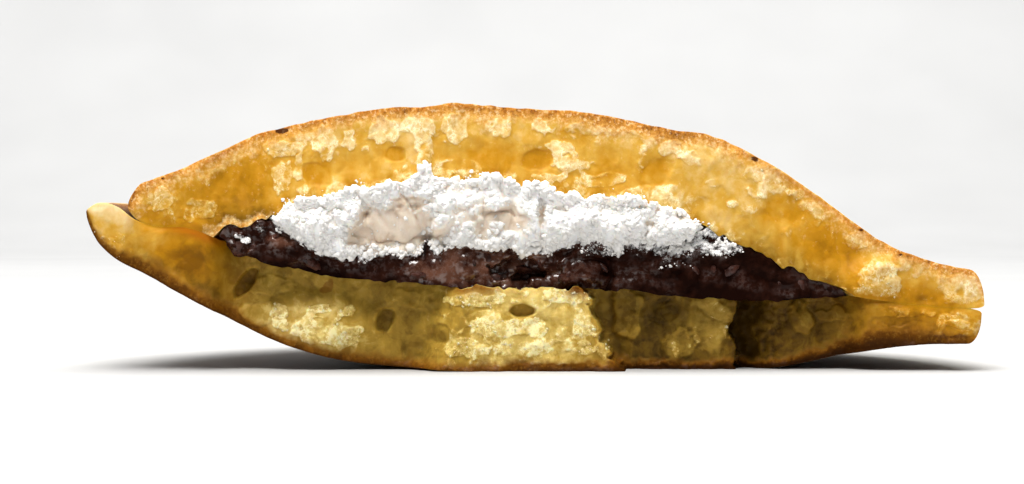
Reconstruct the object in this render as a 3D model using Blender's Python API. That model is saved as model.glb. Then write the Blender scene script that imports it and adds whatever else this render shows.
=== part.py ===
"""Half of a red bean pancake, torn across its middle.

Two round griddle cakes close like a clam shell over a disc of bean paste and a mound of soft white rice cake that
is thickly dusted with starch.  The whole is torn in two, and this half lies on its lower crust with the torn face
towards -Y: +X runs to the right along the tear, +Y back into the half and +Z up.

Sizes are in millimetres until the last step.  y = 0 is the plane of the tear, and z = 0 is the table.
"""

from collections import namedtuple

import bpy
import numpy as np

MM = 0.001  # metres in a millimetre

# Each layer is half of a disc in plan: the x of its centre on the tear, its radius, and the width of its round rim.
Disc = namedtuple("Disc", "centre radius rim")
BOTTOM_DISC = Disc(-0.2, 49.8, 2.4)
TOP_DISC = Disc(2.25, 47.75, 2.6)
BEAN_DISC = Disc(-0.3, 35.0, 1.6)
WHITE_DISC = Disc(-4.2, 28.0, 1.8)

GAP = 0.32            # clearance between one layer and the next
DRAW_IN = 0.15         # how much further the fillings stand off the cakes, deep behind the tear
SETTLE = 1.1          # how far its own weight presses the belly of the lower cake flat, behind the tear
CRUST_WAVE = 0.35     # height of the slow unevenness of the outer crusts
RIM_WANDER = 0.008    # share by which a cake's edge strays from a true circle
CROWD = 0.4           # how far the columns of points crowd towards the tips, from 0 to 1

# Heights along the tear, as (x, z) where each line turns.
TOP_CRUST = ((-45.5, 20.3), (-38.8, 22.9), (-32.1, 26.0), (-25.4, 27.8), (-16.5, 29.2), (-7.6, 29.8), (-1.0, 29.4),
             (7.0, 28.6), (14.7, 27.1), (20.5, 25.9), (25.9, 23.3), (32.6, 18.8), (39.3, 14.1), (43.8, 12.3),
             (50.0, 10.9))
BOTTOM_CRUST = ((-50.0, 16.0), (-47.8, 13.5), (-43.3, 10.7), (-36.6, 7.0), (-29.9, 3.6), (-23.2, 1.45),
                (-14.3, 0.4), (-7.6, 0.0), (22.0, 0.0), (28.1, 0.45), (34.8, 1.8), (41.5, 2.8), (50.0, 3.1))
FLOOR = ((-50.0, 18.9), (-47.0, 18.5), (-43.5, 16.5), (-38.5, 15.9), (-35.2, 14.6), (-31.0, 12.4), (-25.4, 11.1),
         (-14.3, 9.8), (-1.0, 9.3), (10.0, 8.9), (19.0, 8.0), (28.0, 7.85), (35.0, 8.2), (42.0, 7.4), (50.0, 6.9))

# Thickness of both fillings together, and of the white one alone, as (x, thickness).
FILLING = ((-37.2, 0.0), (-35.2, 1.5), (-32.1, 3.4), (-27.7, 7.0), (-21.0, 9.8), (-12.0, 11.9), (-1.0, 11.8),
           (5.0, 10.5), (12.5, 10.2), (19.2, 8.5), (25.9, 4.9), (32.0, 1.8), (34.9, 0.9), (36.5, 0.0))
WHITE = ((-34.0, 0.0), (-32.3, 0.8), (-27.7, 3.6), (-21.5, 8.0), (-13.0, 8.6), (-9.5, 7.5), (-1.5, 7.6),
         (4.0, 5.9), (12.5, 5.6), (19.2, 3.6), (23.8, 0.8), (25.5, 0.0))

# Relief on the torn faces, as (x, z, half width, half height, depth): above zero is hollow, below zero stands proud.
TOP_RELIEF = ((-32.3, 21.3, 2.6, 2.6, 1.1), (-24.3, 23.6, 1.9, 2.7, 1.7), (-20.7, 24.2, 1.7, 2.0, 1.2),
              (-15.6, 24.4, 1.1, 0.9, 1.8), (-5.2, 25.4, 2.6, 2.7, 1.5), (-0.1, 23.7, 1.7, 1.4, 2.8),
              (8.8, 22.6, 2.4, 2.2, 1.5), (13.4, 21.9, 1.6, 1.4, 1.6), (20.0, 20.9, 3.0, 1.7, 1.3),
              (27.5, 17.3, 1.4, 1.2, 1.8), (32.9, 12.8, 2.5, 1.1, 1.6), (37.8, 11.2, 2.3, 2.4, -1.5))
BOTTOM_RELIEF = ((-32.7, 9.9, 1.6, 1.5, 2.0), (-24.8, 5.0, 4.8, 2.8, -3.0), (-17.0, 5.6, 1.2, 1.3, 2.0),
                 (-10.7, 4.2, 1.1, 1.1, 1.8), (-1.6, 6.7, 1.6, 0.7, 2.6), (29.9, 5.7, 1.3, 1.5, -1.6))
BEAN_RELIEF = ((-2.1, 10.9, 2.4, 1.7, 3.6), (-28.0, 13.4, 3.5, 1.5, -0.6), (5.5, 11.4, 2.6, 1.8, -0.9),
               (15.0, 10.6, 3.0, 1.8, -0.5))
WHITE_RELIEF = ((0.6, 16.8, 0.7, 3.6, 2.0), (-15.5, 16.0, 4.2, 2.6, 0.9))

# The lower cake is torn back behind the fillings, all but a block that kept its full depth.
BOTTOM_SET_BACK = 2.9
BLOCK_CENTRE, BLOCK_TOP_HALF, BLOCK_BOTTOM_HALF, BLOCK_PROUD = -1.8, 7.6, 10.4, 4.2

# The split in it, steep on the left and easing out on the right.
SPLIT_X, SPLIT_WIDTH, SPLIT_WALL, SPLIT_DEPTH = 22.2, 0.5, 5.5, 3.4

# The left end of its rim, which was never torn.
LOBE_X, LOBE_HALF, LOBE_PROUD = -47.6, 2.9, 4.2


def curve(knots):
    """Smooth function through (x, value) knots: cubic pieces whose slopes are the neighbours' mean slope."""
    places, values = np.array(knots).T
    slopes = np.gradient(values, places)

    def value_at(x):
        x = np.clip(x, places[0], places[-1])
        i = np.clip(np.searchsorted(places, x) - 1, 0, len(places) - 2)
        width = places[i + 1] - places[i]
        t = (x - places[i]) / width
        starts = (2 * t ** 3 - 3 * t ** 2 + 1) * values[i] + (t ** 3 - 2 * t ** 2 + t) * width * slopes[i]
        ends = (3 * t ** 2 - 2 * t ** 3) * values[i + 1] + (t ** 3 - t ** 2) * width * slopes[i + 1]
        return starts + ends

    return value_at


top_crust_line = curve(TOP_CRUST)
bottom_crust_line = curve(BOTTOM_CRUST)
floor_line = curve(FLOOR)
filling_line = curve(FILLING)
white_line = curve(WHITE)


def ease(value):
    """0 below 0, 1 above 1, and a smooth S between."""
    value = np.clip(value, 0.0, 1.0)
    return value * value * (3.0 - 2.0 * value)


def chance(i, j, seed):
    """A repeatable value from 0 to 1 for each pair of whole numbers."""
    mixed = (i * 374761393 + j * 668265263 + seed * 974634777) & 0xFFFFFFFF
    mixed = ((mixed ^ (mixed >> 13)) * 1274126177) & 0xFFFFFFFF
    return (mixed ^ (mixed >> 16)) / 2.0 ** 32


def waves(u, v, seed):
    """Smooth unevenness from -1 to 1: chance values on a unit grid, eased from corner to corner."""
    i = np.floor(u).astype(np.int64)
    j = np.floor(v).astype(np.int64)
    across, up = ease(u - i), ease(v - j)
    low = chance(i, j, seed) * (1.0 - across) + chance(i + 1, j, seed) * across
    high = chance(i, j + 1, seed) * (1.0 - across) + chance(i + 1, j + 1, seed) * across
    return 2.0 * (low * (1.0 - up) + high * up) - 1.0


def lumps(u, v, seed):
    """Rounded lumps, one to a unit square: 1 at a scattered centre, falling to 0 halfway to the next."""
    i = np.floor(u).astype(np.int64)
    j = np.floor(v).astype(np.int64)
    nearest = np.full(np.shape(u), 9.0)
    for across in (-1, 0, 1):
        for up in (-1, 0, 1):
            centre_u = i + across + chance(i + across, j + up, seed)
            centre_v = j + up + chance(i + across, j + up, seed + 1)
            nearest = np.minimum(nearest, np.hypot(u - centre_u, v - centre_v))
    return np.clip(1.0 - nearest, 0.0, 1.0)


def spun(line, x, y):
    """Height at (x, y) of a surface that shows `line` along the tear.

    A point takes the line's height at its own distance from the middle, mixed from the right and the left half of
    the line by how far round it lies.
    """
    reach = np.hypot(x, np.maximum(y, 0.0))
    left_share = (1.0 - x / np.maximum(reach, 1e-9)) / 2.0
    return (1.0 - left_share) * line(reach) + left_share * line(-reach)


def top_crust(x, y):
    """Upper side of the top cake."""
    return spun(top_crust_line, x, y) + CRUST_WAVE * ease(y / 6.0) * waves(x / 9.0, y / 9.0, 3)


def bottom_crust(x, y):
    """Lower side of the bottom cake, pressed flat on the table under its own weight."""
    depth = np.maximum(y, 0.0)
    reach = np.hypot(x, depth)
    left_share = ((1.0 - x / np.maximum(reach, 1e-9)) / 2.0) ** 2
    height = (1.0 - left_share) * bottom_crust_line(reach) + left_share * bottom_crust_line(-reach)
    height = np.maximum(height - SETTLE * depth / np.maximum(reach, 1e-9), 0.0)
    return height + CRUST_WAVE * ease(y / 6.0) * ease(height / 3.0) * waves(x / 8.0, y / 8.0, 5)


def floor(x, y):
    """Upper side of the bottom cake."""
    return spun(floor_line, x, y)


def seam(x, y):
    """Lower side of the top cake: the floor, raised by the fillings and never closer to it than the gap."""
    return floor(x, y) + np.hypot(np.maximum(spun(filling_line, x, y), 0.0), GAP)


def white_thickness(x, y):
    """Thickness of the white filling."""
    return np.maximum(spun(white_line, x, y), 0.0)


def stand_off(y):
    """Clearance between the fillings and the cakes at a depth behind the tear."""
    return GAP + DRAW_IN * ease(y / 8.0)


def white_top(x, y):
    """Upper side of the white filling."""
    return seam(x, y) - stand_off(y)


def white_bottom(x, y):
    """Lower side of the white filling."""
    return white_top(x, y) - white_thickness(x, y)


def bean_top(x, y):
    """Upper side of the bean paste: under the white filling, and right up to the top cake beyond it."""
    beyond = np.hypot(x - WHITE_DISC.centre, np.maximum(y, 0.0)) - WHITE_DISC.radius
    under_white = ease(1.0 - beyond / 2.0)
    return white_top(x, y) - under_white * (white_thickness(x, y) + stand_off(y))


def bean_bottom(x, y):
    """Lower side of the bean paste."""
    return floor(x, y) + stand_off(y)


def relief(x, z, places):
    """Sum of flat-topped hollows and lumps, each fading by the fourth power of the distance from its centre."""
    total = np.zeros(np.shape(x))
    for centre_x, centre_z, half_width, half_height, depth in places:
        u = (x - centre_x) / half_width
        v = (z - centre_z) / half_height
        total += depth * np.exp(-(u ** 4) - v ** 4)
    return total


def tear(x):
    """How the line of the tear wanders in plan."""
    return 0.7 * np.sin(x / 17.0 + 0.6) + 0.35 * np.sin(x / 6.3 + 2.0)


def lobe(x):
    """1 on the untorn end of the lower cake's rim, 0 away from it."""
    return np.exp(-(((x - LOBE_X) / LOBE_HALF) ** 4))


def bottom_tear(x):
    """Plan line of the lower cake's face: set back, but for the untorn end."""
    return tear(x) + BOTTOM_SET_BACK - LOBE_PROUD * lobe(x)


def crumb(x, z, seed):
    """Broken open crumb: upright pores with walls between them."""
    pores = lumps(x / 2.6, z / 4.4, seed)
    return 1.3 * pores ** 2 - 0.5 + 0.35 * waves(x / 1.7, z / 1.7, seed + 7)


def top_relief(x, z, rise):
    """Relief of the top cake's face, whose lower edge leans out over the filling."""
    return 1.3 - 2.3 * (1.0 - rise) + crumb(x, z, 11) + relief(x, z, TOP_RELIEF)


def bottom_relief(x, z, rise):
    """Relief of the lower cake's face: the proud block, and the split with one steep and one gentle wall."""
    half = BLOCK_BOTTOM_HALF + (BLOCK_TOP_HALF - BLOCK_BOTTOM_HALF) * rise
    ragged = 0.9 * waves(x / 50.0 + 9.0, z / 1.6, 17)
    block = ease((half + ragged - np.abs(x - BLOCK_CENTRE)) / 1.6 + 0.5)
    past_split = x - SPLIT_X
    split = ease(past_split / SPLIT_WIDTH) * ease(1.0 - past_split / SPLIT_WALL)
    broken = (1.0 - lobe(x)) * crumb(x, z, 23) + relief(x, z, BOTTOM_RELIEF)
    return broken - BLOCK_PROUD * block + SPLIT_DEPTH * split


def bean_relief(x, z, rise):
    """Relief of the bean paste's face: soft lumps of crushed bean and one deep hole near the middle."""
    soft = 0.6 - lumps(x / 3.0, z / 2.4, 31) + 0.3 * waves(x / 5.0, z / 2.0, 33)
    return soft + relief(x, z, BEAN_RELIEF)


def white_relief(x, z, rise):
    """Relief of the white filling's face: a swollen front with clumps of starch and one crease down it."""
    swell = -1.5 * np.sin(np.pi * np.clip(rise, 0.0, 1.0))
    clumps = -1.1 * lumps(x / 2.0, z / 1.8, 41) - 0.4 * waves(x / 4.0, z / 3.0, 43)
    return swell + clumps + relief(x, z, WHITE_RELIEF)


def layer_body(disc, lower, upper, line, rough_face, columns, face_steps, back_steps):
    """Vertices and faces of one closed layer.

    The first parameter runs along x from tip to tip, closer together near the tips.  The second runs round a closed
    ring at that x: up the torn face, back over the upper side, round the rim and forward under the lower side.
    Near the rim both sides close on their mean height along a quarter ellipse.  Each tip is a single point.
    """
    share = np.linspace(-1.0, 1.0, columns + 2)[1:-1]
    x = disc.centre + disc.radius * ((1.0 - CROWD) * share + CROWD * np.sin(np.pi / 2.0 * share))
    from_centre = np.abs(x - disc.centre) / disc.radius
    true_depth = disc.radius * np.sqrt(1.0 - from_centre ** 2)
    wander = RIM_WANDER * np.sin(x / 12.0 + disc.radius) * ease(true_depth / 25.0)
    rim_y = true_depth * (1.0 + wander) + line(x) * (1.0 - true_depth / disc.radius)
    rim_start = 1.0 - disc.rim / disc.radius

    def sides(y, out):
        """Rounded lower and upper heights at depth y, where `out` is the distance out as a share of the radius."""
        low, high = lower(x, y), upper(x, y)
        low = np.minimum(low, high - 0.1)
        near_rim = np.clip((out - rim_start) / (1.0 - rim_start), 0.0, 1.0)
        middle, half = (low + high) / 2.0, (high - low) / 2.0 * np.sqrt(1.0 - near_rim ** 2)
        return middle - half, middle + half

    low, high = sides(np.zeros_like(x), from_centre)
    fade = ease(true_depth / 12.0)
    rows = []
    for rise in np.linspace(0.0, 1.0, face_steps + 1):
        z = low + (high - low) * rise
        rows.append(np.stack([x, line(x) + fade * rough_face(x, z, rise), z], axis=1))
    low_front, high_front = rows[0][:, 1], rows[-1][:, 1]
    upper_rows, lower_rows = [], []
    for step in range(1, back_steps):
        along = 1.0 - (1.0 - step / back_steps) ** 1.7
        out = np.hypot(from_centre, along * true_depth / disc.radius)
        y_high = high_front + (rim_y - high_front) * along
        y_low = low_front + (rim_y - low_front) * along
        upper_rows.append(np.stack([x, y_high, sides(y_high, out)[1]], axis=1))
        lower_rows.append(np.stack([x, y_low, sides(y_low, out)[0]], axis=1))
    rim_z = (lower(x, rim_y) + upper(x, rim_y)) / 2.0
    rim_row = np.stack([x, rim_y, rim_z], axis=1)
    ring = np.stack(rows + upper_rows + [rim_row] + lower_rows[::-1], axis=1)
    around = ring.shape[1]

    tip_x = np.array([disc.centre - disc.radius, disc.centre + disc.radius])
    tip_y = line(tip_x)
    tips = np.stack([tip_x, tip_y, (lower(tip_x, tip_y) + upper(tip_x, tip_y)) / 2.0], axis=1)
    points = np.concatenate([ring.reshape(-1, 3), tips])

    column = np.arange(columns - 1)[:, None] * around
    here = np.arange(around)[None, :]
    after = (here + 1) % around
    quads = np.stack([column + here, column + around + here, column + around + after, column + after], axis=-1)
    left, right = columns * around, columns * around + 1
    last = (columns - 1) * around
    faces = quads.reshape(-1, 4).tolist()
    faces += [(left, j, (j + 1) % around) for j in range(around)]
    faces += [(last + j, right, last + (j + 1) % around) for j in range(around)]
    return points, faces


def finish(name, colour, roughness, subsurface):
    """A matt food surface of one colour, given as linear red, green and blue."""
    material = bpy.data.materials.new(name)
    material.use_nodes = True
    shader = material.node_tree.nodes["Principled BSDF"]
    shader.inputs["Base Color"].default_value = (*colour, 1.0)
    shader.inputs["Roughness"].default_value = roughness
    shader.inputs["Metallic"].default_value = 0.0
    shader.inputs["Subsurface Weight"].default_value = subsurface
    shader.inputs["Subsurface Radius"].default_value = (2.0 * MM, 1.2 * MM, 0.5 * MM)
    material.diffuse_color = (*colour, 1.0)
    return material


def add_layer(name, body, material, shift):
    """Make one named object from a layer's points, moved by `shift` and turned into metres."""
    points, faces = body
    mesh = bpy.data.meshes.new(name)
    mesh.from_pydata(((points + shift) * MM).tolist(), [], faces)
    mesh.validate()
    mesh.materials.append(material)
    mesh.shade_smooth()
    mesh.set_sharp_from_angle(angle=np.radians(50.0))
    layer = bpy.data.objects.new(name, mesh)
    bpy.context.scene.collection.objects.link(layer)
    return layer


def build():
    """Remove what the scene holds and make the four layers, from the table up."""
    for old in list(bpy.data.objects):
        bpy.data.objects.remove(old, do_unlink=True)

    bodies = {
        "pancake_bottom": layer_body(BOTTOM_DISC, bottom_crust, floor, bottom_tear, bottom_relief, 88, 11, 8),
        "bean_paste": layer_body(BEAN_DISC, bean_bottom, bean_top, tear, bean_relief, 70, 5, 5),
        "white_filling": layer_body(WHITE_DISC, white_bottom, white_top, tear, white_relief, 58, 8, 5),
        "pancake_top": layer_body(TOP_DISC, seam, top_crust, tear, top_relief, 88, 11, 8),
    }
    finishes = {
        "pancake_bottom": finish("lower_cake_crumb", (0.58, 0.38, 0.11), 0.75, 0.15),
        "bean_paste": finish("bean_paste", (0.045, 0.018, 0.013), 0.35, 0.0),
        "white_filling": finish("dusted_rice_cake", (0.86, 0.84, 0.80), 0.85, 0.2),
        "pancake_top": finish("upper_cake_crumb", (0.76, 0.45, 0.10), 0.75, 0.15),
    }
    everything = np.concatenate([points for points, faces in bodies.values()])
    lowest, highest = everything.min(axis=0), everything.max(axis=0)
    shift = -np.array([(lowest[0] + highest[0]) / 2.0, (lowest[1] + highest[1]) / 2.0, lowest[2]])

    pancake = bpy.data.objects.new("red_bean_pancake_half", None)
    bpy.context.scene.collection.objects.link(pancake)
    for name, body in bodies.items():
        add_layer(name, body, finishes[name], shift).parent = pancake


build()
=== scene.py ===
"""Looks of half a red bean pancake: two griddle cakes torn across, with bean paste and rice cake between.

The four layers are modelled again as fine closed surfaces, on nearly the same curves as the solids that
they replace.  Each one is a function of two parameters: along the tear, and round the layer's section.
Crumbs, starch and crushed beans are small closed blobs worked out as whole arrays and joined, one piece
for each kind.

Sizes are in millimetres, with y = 0 on the plane of the tear and z = 0 on the table, and become metres
at the end.
"""

from collections import namedtuple

import bpy
import numpy as np
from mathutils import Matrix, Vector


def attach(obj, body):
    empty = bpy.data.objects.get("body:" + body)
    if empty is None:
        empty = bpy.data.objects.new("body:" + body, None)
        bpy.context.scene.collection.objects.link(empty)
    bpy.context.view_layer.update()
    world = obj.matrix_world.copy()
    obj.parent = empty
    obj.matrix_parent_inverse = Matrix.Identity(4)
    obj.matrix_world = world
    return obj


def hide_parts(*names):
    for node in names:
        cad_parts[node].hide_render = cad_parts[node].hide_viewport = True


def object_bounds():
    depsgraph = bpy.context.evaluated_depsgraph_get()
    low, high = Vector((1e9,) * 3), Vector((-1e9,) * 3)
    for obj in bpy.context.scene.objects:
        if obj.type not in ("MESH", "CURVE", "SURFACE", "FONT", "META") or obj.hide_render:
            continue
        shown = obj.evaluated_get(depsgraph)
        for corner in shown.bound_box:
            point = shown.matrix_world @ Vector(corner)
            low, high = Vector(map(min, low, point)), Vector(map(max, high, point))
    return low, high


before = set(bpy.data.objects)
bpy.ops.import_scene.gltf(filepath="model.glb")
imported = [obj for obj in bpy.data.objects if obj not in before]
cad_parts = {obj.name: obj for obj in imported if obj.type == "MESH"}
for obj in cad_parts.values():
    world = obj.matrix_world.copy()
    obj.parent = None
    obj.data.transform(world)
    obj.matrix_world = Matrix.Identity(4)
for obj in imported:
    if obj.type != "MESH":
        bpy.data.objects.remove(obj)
cad_low, cad_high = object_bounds()

MM = 0.001  # metres in a millimetre

# ---------------------------------------------------------------- sizes of the layers, close to the solids'

# Each layer is half of a disc: its centre along the tear, its radius, and the width of its rounded rim.
Disc = namedtuple("Disc", "centre radius rim")
BOTTOM_DISC = Disc(-0.15, 49.85, 1.6)
TOP_DISC = Disc(2.25, 47.75, 1.6)
BEAN_DISC = Disc(-0.3, 35, 1.6)
WHITE_DISC = Disc(-5.5, 24.2, 1.6)

GAP = 0.04            # clearance between one soft layer and the next
SETTLE = 1.1          # how far its own weight presses the lower cake's belly flat, behind the tear
CRUST_WAVE = 0.35     # height of the slow unevenness of the outer crusts
FRAY_DEPTH = 4        # how far behind the tear its raggedness dies away
PEAK_DEPTH = 3        # the same for the peaks of the heap
CARRY_DEPTH = 5       # how far behind the tear the face's colours fade into those of the outside
FLAT_DEPTH = 12       # depth of a cake from which its face has its full relief, which the tips lack
DOME_RADIUS = 0.8     # of a packed clump, in units of the distance between clumps
THINNEST = 0.1        # least thickness of a layer
BEAN_RISE = 0.8       # over what length the bean paste rises to the upper cake beyond the white filling
JOINED_CLOSER = 0.85  # share by which the clearance shrinks at the joined ends
RIM_WANDER = 0.008    # share by which a cake's edge strays from a true circle
CROWD = 0.4           # how far the columns of points crowd towards the tips, from 0 to 1
ROW_CROWD = 1.7       # above 1, the rows behind the face crowd towards the rim
EDGE_ROWS = (0.003, 0.012)                                # shares of the way back of the first two rows
SCATTER_REACH = 0.985                                     # share of a layer's half width that is strewn
TRIES = 12                                                # places that are tried for each strewn thing
JOINED_LEFT, JOINED_RIGHT, JOINED_SOFT = -33.5, 34, 3.5   # where the joined ends begin, and how softly
LOWER_BAKE, UPPER_BAKE = 0.65, 0.85                       # how browned the outsides of the cakes are

# Heights of both crusts and of the floor under the fillings, along the tear, as (x, z).
TOP_CRUST = (
    (-45.5, 20.3), (-38.8, 22.9), (-32.1, 26), (-25.4, 27.8), (-16.5, 29.2), (-7.6, 29.8), (-1, 29.4),
    (7, 28.6), (14.7, 27.1), (20.5, 25.9), (25.9, 23.3), (32.6, 18.8), (39.3, 14.1), (43.8, 12.3),
    (50, 10.9),
)
BOTTOM_CRUST = (
    (-50, 16), (-47.8, 13.5), (-43.3, 10.7), (-36.6, 7), (-29.9, 3.6), (-23.2, 1.45), (-14.3, 0.4),
    (-7.6, 0), (22, 0), (28.1, 0.45), (34.8, 1.8), (41.5, 2.8), (50, 3.1),
)
FLOOR = (
    (-50, 18.4), (-48.3, 18.8), (-46.4, 18.3), (-44.6, 16.9), (-43, 16.3), (-38.5, 15.9), (-35.2, 14.6),
    (-31, 12.4), (-25.4, 11.1), (-14.3, 9.8), (-1, 9.3), (10, 8.9), (19, 8), (28, 7.85), (35, 8.2),
    (42, 7.4), (50, 6.9),
)

# Thickness of both fillings together, and of the white one, as (x, thickness).
FILLING = (
    (-36, 0), (-34.9, 1.5), (-32.1, 3.4), (-27.7, 7), (-21, 9.8), (-12, 11.9), (-1, 11.8), (5, 10.5),
    (12.5, 10.2), (17, 9.1), (19.5, 7.9), (25.9, 4.9), (32, 1.8), (34.4, 0.9), (35.6, 0),
)
WHITE = (
    (-34, 0), (-29.6, 0.4), (-27.3, 3.2), (-21.5, 7.4), (-17.8, 7.8), (-13, 8.6), (-9.5, 7.5), (-4.9, 8.3),
    (-2.3, 7.3), (0.4, 7.9), (3.2, 5.8), (6.3, 4.5), (8.6, 5.4), (10.6, 4.8), (12.5, 4.9), (15.5, 3.9),
    (17.3, 2.2), (18.5, 0.7), (19.2, 0),
)

# Crisp hollows of the upper and the lower face, as (x, z, half width, half height, lean, depth), and their
# mounds, as (x, z, half width, half height, height).
TOP_POCKETS = (
    (-15.7, 24.2, 1.15, 0.85, 0.1, 0.12), (0.1, 23.6, 1.7, 1.2, 0.2, 0.12),
    (13.5, 22.2, 1.7, 1.6, 0.5, 0.08), (-24.4, 21.9, 1.6, 1.3, -0.2, 0.08),
)
TOP_MOUNDS = ((37.6, 10.1, 2.7, 2.2, 1.2), (39.5, 12, 2, 1, 0.4))
BOTTOM_POCKETS = (
    (-32.7, 9.7, 0.95, 1.7, 0.6, 0.8), (-17, 5.6, 1.1, 1.4, 0.25, 0.7), (-10.7, 4.2, 1.1, 1.2, 0, 0.25),
    (-1.6, 6.75, 1.5, 0.75, 0, 1),
)
BOTTOM_MOUNDS = ((-24.8, 4.6, 5.6, 3.2, 1.5), (29.9, 5.7, 1.4, 1.7, 0.45))

# Golden places of the upper face: shallow hollows, smoother and more orange than the rest, and darker with
# painted shade, as (x, z, half width, half height, strength).
GOLDEN = (
    (-32.5, 20.8, 3.6, 2, 0.45), (-24.4, 22.2, 1.9, 1.8, 1), (-20.6, 23, 2.2, 1.6, 0.7),
    (-15.8, 24.2, 1.6, 1.2, 0.7), (-10.4, 23.9, 1.6, 1.8, 0.6), (-5, 23.6, 2.8, 2.2, 0.7),
    (0, 23.6, 2, 1.6, 0.9), (8.4, 22.6, 2.8, 2.4, 0.9), (13.4, 22, 2, 1.9, 0.9), (18.5, 20.8, 2.2, 2.2, 0.4),
    (27.6, 17.9, 2.2, 1.6, 0.9), (32.4, 13.4, 3.6, 1.8, 0.7), (43.4, 8.4, 2.4, 1, 0.5),
)

# Slow light and shade of the lower face, and its crisper lumps, in the same way.
LOWER_SHADE = (
    (-38.8, 12.4, 3.6, 1.8, -0.17), (-35.6, 14, 1.6, 1.2, -0.08), (-40.4, 12.2, 0.9, 0.6, 0.08),
    (-38.4, 14.6, 1, 0.6, 0.06), (-42.6, 14.6, 1.6, 1, 0.08), (-7, 9, 3.4, 0.9, 0.16),
)
LOWER_LUMPS = (
    (10.3, 6.3, 1.7, 2.9, 0.13), (14.2, 6.6, 1.8, 1.4, -0.04), (19.6, 5.3, 2.3, 3.2, 0.1),
    (16.3, 2.8, 1.9, 1.8, 0.1), (12.6, 2.2, 1.5, 1.5, -0.05), (25.8, 5.6, 0.8, 2, 0.05),
    (29.9, 5.8, 1.2, 1.6, 0.12), (33.5, 6.4, 1.6, 0.7, 0.06), (-31.4, 6.3, 2, 1.2, 0.08),
    (-14, 8, 2.2, 1.2, 0.05), (-30, 9.6, 2.2, 1, 0.05), (46.8, 4.7, 2.4, 0.9, 0.04),
    (40, 5.6, 1.6, 0.5, -0.03),
)

# Hollows of the bean paste's and the white filling's face, as (x, z, half width, half height, depth).
BEAN_HOLLOWS = (
    (-2.1, 11.4, 2.6, 1.1, 1.8), (-1.6, 9.9, 0.8, 0.9, 1.4), (-28, 13.4, 3.5, 1.5, -0.6),
    (5.5, 11.4, 2.6, 1.8, -0.9), (15, 10.6, 3, 1.8, -0.5),
)
WHITE_HOLLOWS = ((0.6, 16.2, 0.35, 3, 0.8), (-15.5, 16, 4.2, 2.6, 0.55))

# Beans that let more light through, as (x, z, half width, half height, strength).
BEAN_LIGHTS = ((-10.4, 10.6, 2.4, 0.8, 0.45), (-3.4, 10, 1.2, 0.7, 0.4), (-28.5, 14.6, 1.6, 0.7, 0.3))

# Where starch lies on the bean paste away from the heap, as (x, z, half width, half height, strength).
POWDERED = (
    (7.6, 13.6, 3.4, 1.2, 0.8), (14.5, 14.2, 3, 1.2, 0.8), (18.5, 14.2, 3.4, 1.3, 0.9),
    (21.4, 13.6, 2.2, 0.8, 0.9), (-33.1, 15.1, 0.5, 0.3, 1.8), (-32.3, 14.6, 0.6, 0.35, 1.8),
    (-30.7, 16, 1, 1, 0.8), (-19.5, 12.4, 1, 0.7, 0.8),
)

# Where the heap pokes up into the upper cake, as (x, half width, height).
HEAP_PEAKS = ((-12.3, 0.7, 1.9), (-4.4, 1.2, 0.6), (-20.5, 1, 0.3), (8, 1.2, 0.3))

# Scorched specks on the edge of the upper crust, as (x, z, half width, half height, strength).
SCORCHED = (
    (-45.9, 18.8, 0.5, 0.25, 0.9), (-41.6, 21.5, 0.3, 0.2, 0.7), (-28.5, 26.8, 0.6, 0.25, 0.9),
    (24.7, 23.7, 0.3, 0.2, 0.8), (36.4, 15.7, 0.3, 0.2, 0.7), (40.7, 13, 0.3, 0.2, 0.6),
)

# Browned bits of the lower cake's upper skin, as (x, z, half width, half height, strength).
INNER_SKIN = ((-7.2, 9.2, 3.2, 1.2, 0.75), (4.9, 9, 1.6, 1.2, 1))
SKIN_FLAKE = ((-23.4, 9.4, 0.6, 0.8, 1),)

# The lower cake's face lies behind the tear.  It has a proud bright block that is wider below, a dark split
# with a slanting right wall, and the untorn end of the rim, which stands out again.
BOTTOM_SET_BACK = 2.9
BLOCK_CENTRE, BLOCK_TOP_HALF, BLOCK_BOTTOM_HALF, BLOCK_PROUD = -1.8, 7.6, 10.4, 4.2
SPLIT_X, SPLIT_WIDTH, SPLIT_WALL, SPLIT_DEPTH = 22.2, 0.5, 5.5, 3.4
LOBE_X, LOBE_HALF, LOBE_PROUD = -47.6, 2.9, 1.3

# ---------------------------------------------------------------- how the torn crumb is coloured

# How light and how browned the faces are along the tear, and how amber rather than olive the lower one is, as
# (x, strength).  These carry painted light and shade: the lower face is darker from x = 9 to 46 and about
# x = -38, and olive where it is set back, as painted shade, and its browning is raised from x = 5 to 43 as
# painted shadow at its foot; the upper face is darker about x = -37 and about x = 32, where it faces down,
# as painted shade.
UPPER_TONE = (
    (-46, 0.4), (-40, 0.31), (-33, 0.28), (-27, 0.41), (0, 0.43), (24, 0.45), (29, 0.36), (33, 0.3),
    (35.5, 0.3), (38, 0.42), (41, 0.38), (50, 0.5),
)
LOWER_TONE = (
    (-50, 0.55), (-46, 0.5), (-43.5, 0.34), (-40, 0.22), (-36.5, 0.21), (-33, 0.38), (-28, 0.5), (-20, 0.5),
    (-12.5, 0.45), (-10.5, 0.49), (7, 0.49), (9, 0.3), (18, 0.26), (21.5, 0.33), (22.5, 0.12), (24.6, 0.11),
    (27, 0.12), (32, 0.15), (37, 0.17), (41, 0.04), (46, 0.09), (50, 0.38),
)
UPPER_BROWN = (
    (-46, 0.44), (-34, 0.4), (-24, 0.48), (2, 0.56), (18, 0.6), (23, 0.42), (29, 0.26), (34, 0.34),
    (38, 0.46), (50, 0.42),
)
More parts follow.
